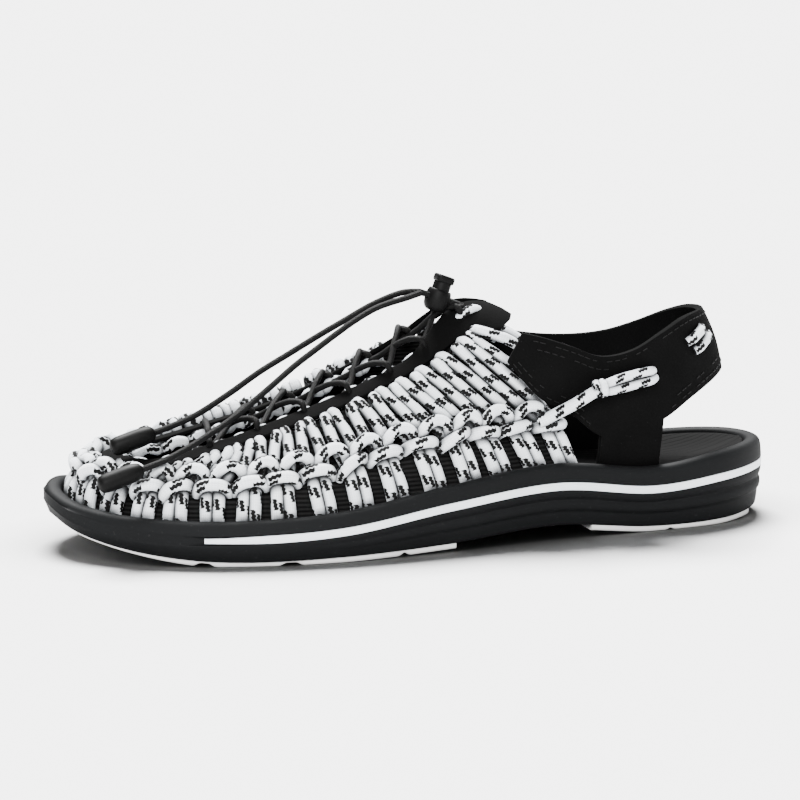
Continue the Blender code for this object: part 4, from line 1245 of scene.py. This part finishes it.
# Cords of the tab as place, share of the rise and lift: the two legs of a last loop that runs back
# under the heel strap, and a short run beside it.
TAB_CORDS = [
    [(0.682, 0.722, -0.4), (0.683, 0.72, 1.8), (0.6845, 0.712, 2.9), (0.686, 0.704, 3.1), (0.696, 0.663, 2.8),
     (0.706, 0.628, 2.2), (0.716, 0.594, 1.0), (0.728, 0.56, -0.8)],
    [(0.676, 0.712, -0.4), (0.673, 0.705, 1.8), (0.671, 0.692, 2.9), (0.671, 0.675, 3.1), (0.674, 0.618, 2.8),
     (0.677, 0.58, 2.2), (0.68, 0.54, 1.0), (0.686, 0.50, -0.8)],
    [(0.712, 0.72, -1.0), (0.717, 0.705, 0.4), (0.724, 0.68, 0.9), (0.731, 0.645, 0.4), (0.738, 0.61, -1.0)],
]
TAB_DASH = [(0.676, 0.2), (0.685, 1.6), (0.694, 2.6), (0.703, 2.9), (0.712, 2.6), (0.720, 1.6), (0.728, 0.2)]
TAB_DASH_SHARE = 0.82


def tab_routes():
    """Cords at the eyestay's rear end on both sides, and the run that lies over the lateral tab."""
    routes = []
    for side in (-1.0, 1.0):
        for cord in TAB_CORDS:
            routes.append([over_last(side * place, rise, lift) for place, rise, lift in cord])
    routes.append([eyestay_point(-place, TAB_DASH_SHARE, lift) for place, lift in TAB_DASH])
    return routes


# A run along the throat edge: share of the way between two loops and of the eyestay's width, lift
# and step past the edge. The runs lie deeper towards the ankle.
THROAT_MARKS = [
    (0.08, 0.88, -0.6, 0.0), (0.2, 1.0, 0.0, 1.4), (0.35, 1.0, 0.9, 1.4), (0.5, 1.0, 1.1, 1.4),
    (0.65, 1.0, 0.9, 1.4), (0.8, 1.0, 0.0, 1.4), (0.92, 0.88, -0.6, 0.0),
]
THROAT_SINK = 0.5
ANKLE_SINK = 1.4
ANKLE_SINK_SPAN = (0.5, 0.62)
THROAT_END = 0.55


def throat_route(start, end):
    """Short run of cord along the throat edge between two loops, tucked under at its ends."""
    points = []
    for share, width, lift, upward in THROAT_MARKS:
        place = start + (end - start) * share
        sink = THROAT_SINK + ANKLE_SINK * ease(*ANKLE_SINK_SPAN, abs(place))
        points.append(eyestay_point(place, width, lift - sink, 0.0, upward))
    return points


WEAVE_SEED = 7
LEG_SPACING = 1.5
CORD_SPACING = 1.2
BAR_RADIUS = 2.3
ARC_RADIUS = 2.2
EDGE_CORD_RADIUS = 2.1


def make_upper(cord):
    """The woven upper: doubled cords from the sole to the eyestay, the twined band and the edge runs."""
    rng = random.Random(WEAVE_SEED)
    rows = signed_chart()
    stock = Stock()
    for row in rows:
        for sign in (-1.0, 1.0):
            stock.cord(leg_route(row, sign, rng), LEG_SPACING, leg_radius, rng)
    bands = [row.band for row in rows]
    for index, place in enumerate(bands):
        is_last = index + 1 == len(bands)
        follow = 2.0 * place - bands[index - 1] if is_last else bands[index + 1]
        pitch = (band_point(follow, 0.0, 0.0, 0.0) - band_point(place, 0.0, 0.0, 0.0)).length
        turn = BAR_TURNS[index % len(BAR_TURNS)]
        stock.cord(bar_route(place, pitch, turn), CORD_SPACING, BAR_RADIUS, rng)
        if not is_last:
            inner, outer = sorted((place, follow), key=abs)
            stock.cord(arc_route(inner, outer), CORD_SPACING, ARC_RADIUS, rng)
    routes = tab_routes()
    for row, follow in zip(rows, rows[1:]):
        if row.loop <= THROAT_END:
            routes.append(throat_route(row.loop, follow.loop))
    for route in routes:
        stock.cord(route, CORD_SPACING, EDGE_CORD_RADIUS, rng)
    stock.piece("woven_upper", cord, "white_cord", "cord_upper", sharp=CORD_SHARP_ANGLE)


LINING_LIFT = -3.3
LINING_END = 0.64
LINING_LEAN = 0.05
LINING_OVERLAP = 0.03
LINING_RAISE = 3.0
LINING_RAISE_SPAN = (0.75, 1.0)
LINING_COLUMNS = 150
LINING_BANDS = 16
LINING_THICKNESS = 0.8
LINING_EDGE = 0.2


def make_lining(lining):
    """Ribbed black lining behind the cords, from the sole to the eyestay."""
    rows = []
    for band in range(LINING_BANDS + 1):
        level = band / LINING_BANDS
        end = LINING_END + LINING_LEAN * level
        lift = LINING_LIFT + LINING_RAISE * ease(*LINING_RAISE_SPAN, level)
        row = []
        for step in range(LINING_COLUMNS + 1):
            place = end * (2.0 * step / LINING_COLUMNS - 1.0)
            rise = (last_value(LOW_EDGE, place) + LINING_OVERLAP) * level
            row.append(over_last(place, rise, lift))
        rows.append(row)
    piece = add_piece("upper_lining", sheet_mesh("upper_lining", rows), lining, "black_microfibre")
    thicken(piece, LINING_THICKNESS, LINING_EDGE)


# The eyestay's section: share of its width, and side of its middle layer from -1 to 1.
EYESTAY_SECTION = [
    (0.0, 0.0), (0.006, 0.55), (0.03, 0.9), (0.08, 1.0), (0.3, 1.0), (0.5, 1.0), (0.7, 1.0),
    (0.92, 1.0), (0.97, 0.9), (0.994, 0.55), (1.0, 0.0), (0.994, -0.55), (0.97, -0.9), (0.92, -1.0),
    (0.5, -1.0), (0.08, -1.0), (0.03, -0.9), (0.006, -0.55),
]
EYESTAY_STEPS = 280
EYESTAY_TAIL = 0.02
LOW_END_CUT = 0.055
LOW_END_POWER = 1.3
HIGH_END_CUT = 0.012
TAB_SPAN = (0.655, 0.715)
TAB_GROWTH = 0.38
CREST_SPAN = (0.575, 0.69)
CREST_GROWTH = 0.5


def make_eyestay(microfibre):
    """Black strip round the throat with rounded edges, slanted rear ends and a wider lateral tab."""
    rows = []
    for step in range(EYESTAY_STEPS + 1):
        share_along = 2.0 * step / EYESTAY_STEPS - 1.0
        row = []
        for share, side in EYESTAY_SECTION:
            low_cut = LOW_END_CUT * max(0.0, 1.0 - 2.0 * share) ** LOW_END_POWER
            high_cut = HIGH_END_CUT * max(0.0, 2.0 * share - 1.0) ** 2
            place = (EYESTAY_END + EYESTAY_TAIL - low_cut - high_cut) * share_along
            crest = CREST_GROWTH * ease(*CREST_SPAN, -place) * share ** 2
            tab = TAB_GROWTH * ease(*TAB_SPAN, -place) * (1.0 - share)
            lift = EYESTAY_LIFT + 0.5 * EYESTAY_THICKNESS * side
            row.append(eyestay_point(place, share + crest - tab, lift))
        rows.append(row)
    stock = Stock()
    stock.loft(rows)
    stock.piece("eyestay_strip", microfibre, "black_microfibre", "eyestay")


def sheet_mesh(name, rows, keep=None):
    """Soft strip from a grid of points, still without thickness."""
    mesh = bpy.data.meshes.new(name)
    bm = bmesh.new()
    grid = [[bm.verts.new(placed(point)) for point in row] for row in rows]
    for level, (low, high) in enumerate(zip(grid, grid[1:])):
        for column in range(len(low) - 1):
            if keep is None or keep(column, level):
                bm.faces.new((low[column], low[column + 1], high[column + 1], high[column]))
    loose = [vertex for vertex in bm.verts if not vertex.link_faces]
    bmesh.ops.delete(bm, geom=loose, context="VERTS")
    bmesh.ops.recalc_face_normals(bm, faces=bm.faces)
    bm.to_mesh(mesh)
    bm.free()
    mesh.shade_smooth()
    return mesh


BEVEL_SEGMENTS = 3
BEVEL_ANGLE = 60.0


def thicken(piece, thickness, edge):
    """Give a sheet its thickness and rounded edges."""
    shell = piece.modifiers.new("Wall", "SOLIDIFY")
    shell.thickness = thickness * MM
    shell.offset = 0.0
    rim = piece.modifiers.new("Edge", "BEVEL")
    rim.width = edge * MM
    rim.segments = BEVEL_SEGMENTS
    rim.limit_method = "ANGLE"
    rim.angle_limit = math.radians(BEVEL_ANGLE)


STRAP_STEPS = 14
STRAP_BANDS = 12
LEG_BANDS = 8
STRAP_EDGE = 0.8
FRONT_SLANT = 0.5
FRONT_SLANT_END = 1.8


def make_heel_strap(microfibre):
    """Heel strap with a slanted front edge and its two legs into the sole."""
    last = len(HEEL_STRAP) - 1
    spots = [step / STRAP_STEPS for step in range(last * STRAP_STEPS + 1)]
    halves = [(spot, -1.0) for spot in spots] + [(spot, 1.0) for spot in spots[-2::-1]]
    rows = []
    for band in range(LEG_BANDS):
        row = []
        for spot, side in halves:
            row.append(leg_foot(spot, side).lerp(strap_point(spot, 0.0, side), band / LEG_BANDS))
        rows.append(row)
    for band in range(STRAP_BANDS + 1):
        rise = band / STRAP_BANDS
        row = []
        for spot, side in halves:
            slant = FRONT_SLANT * rise * max(0.0, 1.0 - spot / FRONT_SLANT_END)
            row.append(strap_point(spot + slant, rise, side))
        rows.append(row)

    def keep(column, level):
        middle = 0.5 * (halves[column][0] + halves[column + 1][0])
        return level >= LEG_BANDS or LEG_FRONT_ROW < middle < LEG_BACK_ROW

    mesh = sheet_mesh("heel_strap_cloth", rows, keep)
    strap = add_piece("heel_strap_cloth", mesh, microfibre, "black_microfibre", "heel_strap")
    thicken(strap, STRAP_THICKNESS, STRAP_EDGE)


# Stitch rows on each side of the heel strap: from and to a spot, and millimetres from the edge, up
# from the lower edge or down from the upper one.
StitchRow = namedtuple("StitchRow", "start end from_low from_high")
STITCH_ROWS = [
    StitchRow(0.8, 8.9, None, 2.0), StitchRow(0.9, 3.4, None, 5.0), StitchRow(0.25, 2.7, 2.2, None),
    StitchRow(0.4, 2.5, 5.2, None), StitchRow(5.3, 8.9, 2.4, None), StitchRow(5.3, 7.6, 5.4, None),
]
STITCH_PITCH = 3.1
STITCH_LENGTH = 2.1
STITCH_STEPS = 180
STITCH_LIFT = 0.5 * STRAP_THICKNESS + 0.08
STITCH_SHOWING = 0.75
STITCH_SEED = 11
THREAD_RADIUS = 0.22
THREAD_SIDES = 6


def stitch_line(row, side):
    """Points of one sewn row on the heel strap's outer face."""
    line = []
    for step in range(STITCH_STEPS + 1):
        spot = row.start + (row.end - row.start) * step / STITCH_STEPS
        low, high = strap_edges(spot, side)
        rise = row.from_low if row.from_high is None else high - low - row.from_high
        line.append(strap_point(spot, rise / (high - low), side, STITCH_LIFT))
    return line


def make_stitches(thread):
    """Sewn rows of single stitches, some of them sunk out of sight."""
    rng = random.Random(STITCH_SEED)
    stock = Stock()
    for row in STITCH_ROWS:
        for side in (-1.0, 1.0):
            line = stitch_line(row, side)
            run = 0.0
            dash = [line[0]]
            for first, second in zip(line, line[1:]):
                run += (second - first).length
                if run % STITCH_PITCH < STITCH_LENGTH:
                    dash.append(second)
                else:
                    if len(dash) > 2 and rng.random() < STITCH_SHOWING:
                        ends = [dash[0], dash[len(dash) // 2], dash[-1]]
                        stock.tube(ends, THREAD_RADIUS, THREAD_SIDES)
                    dash = [second]
    stock.piece("heel_strap_stitches", thread, "black_microfibre")


HEEL_CORD_ROUTE = [
    (39.5, -32.5, 45.5), (42.0, -34.0, 46.9), (45.0, -34.6, 48.5), (52.0, -35.8, 52.0), (59.0, -36.6, 56.0),
    (63.0, -36.8, 57.8),
]
HEEL_CORD_LEGS = [
    [(61.5, -37.0, 58.2), (66.0, -36.6, 59.7), (71.5, -35.8, 61.2), (78.5, -35.3, 62.5), (83.0, -34.9, 63.1),
     (85.2, -33.4, 62.9), (85.6, -31.8, 62.8)],
    [(61.5, -37.0, 57.4), (66.0, -36.6, 56.8), (71.5, -35.8, 57.3), (78.5, -35.3, 58.6), (83.6, -34.9, 59.4),
     (86.0, -33.4, 60.1), (86.4, -31.8, 60.1)],
]
HEEL_CORD_SEEDS = {"lateral": 3, "medial": 4}
HEEL_CORD_SPACING = 1.3
HEEL_CORD_RADIUS = 2.3
HEEL_LEG_RADIUS = 1.85
KNOT_CORD_RADIUS = 1.7
KNOT_CENTRE = Vector((62.6, -36.9, 57.9))
KNOT_HEADING = Vector((7.0, -0.8, 3.0)).normalized()
KNOT_RADIUS = 2.3
KNOT_LENGTH = 2.8
KNOT_STEPS = 14
KNOT_STEPS_A_TURN = 12
KNOT_START = -1.2


def on_side(points, side):
    """A route of the lateral side, or its counterpart on the medial side."""
    if side < 0.0:
        return points
    return [(x, MEDIAL_SHIFT - y, z) for x, y, z in points]


def knot_route():
    """A turn and a little more round the heel cord, on the lateral side."""
    across = KNOT_HEADING.cross(Vector((0.0, 1.0, 0.0))).normalized()
    out = across.cross(KNOT_HEADING)
    points = []
    for step in range(KNOT_STEPS + 1):
        angle = 2.0 * math.pi * step / KNOT_STEPS_A_TURN + KNOT_START
        ring = (across * math.cos(angle) + out * math.sin(angle)) * KNOT_RADIUS
        points.append(KNOT_CENTRE + ring + KNOT_HEADING * (step / KNOT_STEPS - 0.5) * KNOT_LENGTH)
    return points


def make_heel_cord(label, side, cord):
    """Cord from the twined band to its knot on the heel strap, and the loop behind the knot."""
    rng = random.Random(HEEL_CORD_SEEDS[label])
    stock = Stock()
    main = smooth_route(on_side(HEEL_CORD_ROUTE, side), HEEL_CORD_SPACING)
    stock.tube(main, HEEL_CORD_RADIUS, phase=rng.random())
    for leg in HEEL_CORD_LEGS:
        stock.cord(on_side(leg, side), HEEL_CORD_SPACING, HEEL_LEG_RADIUS, rng)
    knot = smooth_route(on_side(knot_route(), side), CORD_SPACING)
    stock.tube(knot, KNOT_CORD_RADIUS, phase=rng.random())
    name = f"heel_cord_{label}"
    stock.piece(f"{name}_braid", cord, "white_cord", name, sharp=CORD_SHARP_ANGLE)


# Short slanted runs of the back cord: start and end, each a spot and a share of the strap's height.
BACK_CORD_RUNS = [((6.05, 0.69), (6.85, 0.77)), ((6.35, 0.53), (7.15, 0.64))]
BACK_CORD_SEED = 5
BACK_CORD_RADIUS = 2.0
BACK_CORD_LIFT = 0.5 * STRAP_THICKNESS + 1.1
BACK_CORD_END_LIFT = 0.45
BACK_CORD_RAMP = 0.2
BACK_CORD_STEPS = 12


def make_back_cord(cord):
    """Cord that shows as two short runs on each side of the heel and goes into the strap between."""
    rng = random.Random(BACK_CORD_SEED)
    stock = Stock()
    for side in (-1.0, 1.0):
        for start, end in BACK_CORD_RUNS:
            points = []
            for step in range(BACK_CORD_STEPS + 1):
                share = step / BACK_CORD_STEPS
                middle = ease(0.0, BACK_CORD_RAMP, min(share, 1.0 - share))
                lift = BACK_CORD_LIFT * (BACK_CORD_END_LIFT + (1.0 - BACK_CORD_END_LIFT) * middle)
                spot, rise = (first + (second - first) * share for first, second in zip(start, end))
                points.append(strap_point(spot, rise, side, lift))
            stock.cord(points, CORD_SPACING, BACK_CORD_RADIUS, rng)
    stock.piece("heel_back_cord_braid", cord, "white_cord", "heel_back_cord", sharp=CORD_SHARP_ANGLE)


EYELET_PLACES = [0.285, 0.35, 0.415, 0.48, 0.548, 0.62, 0.69]
EYELET_SHARE = 0.8
LACE_SPACING = 1.1
LACE_SIDES = 10

# Marks of the lace over the eyestay: share of its width, lift, and steps along the edge and upward.
ARC_START = [
    (EYELET_SHARE - 0.02, -0.6, 0.0, 0.0), (EYELET_SHARE, 2.6, 0.0, 0.0),
    (EYELET_SHARE + 0.06, 4.6, 0.0, 0.2), (0.98, 5.6, 0.0, 1.2),
]
ARC_CREST = (1.0, 5.4, 0.0, 2.0)
ARC_BOW = [(0.2, 1.5), (0.45, 1.6), (0.7, 0.6)]
ARC_END = [(1.0, 0.2, 0.0, 1.5), (0.9, -1.6, 0.0, 0.0)]
FAR_LOOP = [
    (1.0, -1.6, 2.4, 0.6), (1.0, 1.2, 2.4, 1.6), (1.0, 3.4, 1.8, 1.6), (0.98, 4.6, 0.6, 0.4),
    (0.92, 4.7, -0.6, 0.0), (EYELET_SHARE, 3.2, -1.2, 0.0), (EYELET_SHARE - 0.02, -0.6, -1.2, 0.0),
]
LOCK_LEAD = [(EYELET_SHARE, -0.6, 0.0, 0.0), (EYELET_SHARE, 3.2, 0.0, 0.0), (0.96, 5.4, 0.0, 0.5)]
LOCK_LEAD_REACHES = [-LOCK_REACH - 4.0, -LOCK_REACH, 0.0, LOCK_REACH, LOCK_REACH + TAIL_GAP + 0.2]
FIRST_BAR = [(EYELET_SHARE, 0.2, 0.0, 0.0), (0.9, 4.6, 0.0, 0.0)]
FIRST_BAR_CREST = (1.0, 5.0, 0.0, 0.0)
FIRST_BAR_BOW = 1.0


def on_eyestay(place, marks):
    return [eyestay_point(place, *mark) for mark in marks]


def near_arc(near, far):
    """Lace that comes up at an eyelet, bows over the throat edge and dives to the other side."""
    start = eyestay_point(near, *ARC_CREST)
    ends = on_eyestay(far, ARC_END)
    bow = [start.lerp(ends[0], share) + UP * height for share, height in ARC_BOW]
    return on_eyestay(near, ARC_START) + bow + ends


def lock_lead(side):
    """Lace from the last eyelet to the lock and through it."""
    lead = on_eyestay(side * EYELET_PLACES[-1], LOCK_LEAD)
    return lead + [lock_cord_point(reach, side) for reach in LOCK_LEAD_REACHES]


def first_bar(place):
    """Lace straight across the throat between the first two eyelets."""
    near, far = eyestay_point(-place, *FIRST_BAR_CREST), eyestay_point(place, *FIRST_BAR_CREST)
    crest = near.lerp(far, 0.5) + UP * FIRST_BAR_BOW
    return on_eyestay(-place, FIRST_BAR) + [crest] + on_eyestay(place, FIRST_BAR[::-1])


def make_lace(bungee):
    """Bungee from the first bar up the throat, from eyelet to eyelet and through the lock."""
    routes = [lock_lead(side) for side in (-1.0, 1.0)]
    for toeward, place in zip(EYELET_PLACES, EYELET_PLACES[1:]):
        routes += [near_arc(-place, toeward), near_arc(place, -toeward), on_eyestay(place, FAR_LOOP)]
    routes.append(first_bar(EYELET_PLACES[0]))
    stock = Stock()
    for route in routes:
        stock.tube(smooth_route(route, LACE_SPACING), BUNGEE_RADIUS, LACE_SIDES)
    stock.piece("lace_bungee", bungee, "black_bungee", "lace", sharp=CORD_SHARP_ANGLE)


# Forms about the lock's axis as radius, or half width, and height.
BARREL_PROFILE = [
    (0.6, -5.5), (1.6, -5.45), (2.6, -5.3), (3.4, -4.95), (4.0, -4.4), (4.45, -3.6), (4.75, -2.7),
    (4.88, -1.6), (4.9, -0.6), (4.9, 0.5), (4.8, 1.6), (4.6, 2.5), (4.4, 3.0), (4.15, 3.25), (3.9, 3.3),
    (3.72, 3.1), (3.68, 2.0),
]
HEAD_LOW = LOCK_MOUTH + LOCK_TRAVEL + 0.3
STEM_PROFILE = [(3.45, -2.0), (3.45, HEAD_LOW - 0.2), (3.3, HEAD_LOW + 0.4)]
HEAD_SHAPE = [(2.9, 0.0), (3.4, 0.2), (3.6, 0.7), (3.6, 2.2), (3.4, 2.7), (2.9, 2.9), (1.6, 2.75), (0.4, 2.7)]
HEAD_PROFILE = [(half, HEAD_LOW + rise) for half, rise in HEAD_SHAPE]
BARREL_SIDES = 48
STEM_SIDES = 40
HEAD_SIDES = 32
HEAD_CORNER = 6.0


def lock_form(stock, profile, sides, corner=2.0):
    """Form about the lock's axis; corner is 2 for a round section and more for a squarer one."""
    rows = []
    for half, height in profile:
        ring = []
        for step in range(sides):
            angle = 2.0 * math.pi * step / sides
            x, y = math.cos(angle), math.sin(angle)
            reach = half * (abs(x) ** corner + abs(y) ** corner) ** (-1.0 / corner)
            ring.append(LOCK_CENTRE + lock_turn() @ Vector((x * reach, y * reach, height)))
        rows.append(ring)
    stock.loft(rows)


def make_lock(moulding):
    """Sprung cord lock: a ball barrel with a collar, and a square-headed button on a round stem."""
    barrel = Stock()
    lock_form(barrel, BARREL_PROFILE, BARREL_SIDES)
    barrel.piece("cord_lock_ball", moulding, "black_moulding", "cord_lock_barrel")
    button = Stock()
    lock_form(button, STEM_PROFILE, STEM_SIDES)
    lock_form(button, HEAD_PROFILE, HEAD_SIDES, HEAD_CORNER)
    button.piece("cord_lock_press", moulding, "black_moulding", "cord_lock_button", body="lock_button")


make_camera()
white_cord = cord_finish()
black_bungee = bungee_finish()
black_moulding = moulding_finish()
black_microfibre = microfibre_finish()
for label, route, side in (("upper", TAIL_UPPER_ROUTE, 1.0), ("lower", TAIL_LOWER_ROUTE, -1.0)):
    make_tail(label, route, side, black_bungee, black_moulding)
make_studio()
make_midsole(foam_finish())
make_insole(footbed_finish())
make_stripe(band_finish())
tread_rubber = tread_finish()
make_tread("outsole_forefoot", FOREFOOT_LUGS, tread_rubber)
make_tread("outsole_heel", HEEL_LUGS, tread_rubber)
make_upper(white_cord)
make_lining(lining_finish())
make_eyestay(black_microfibre)
make_heel_strap(black_microfibre)
make_stitches(thread_finish())
make_heel_cord("lateral", -1.0, white_cord)
make_heel_cord("medial", 1.0, white_cord)
make_back_cord(white_cord)
make_lace(black_bungee)
make_lock(black_moulding)
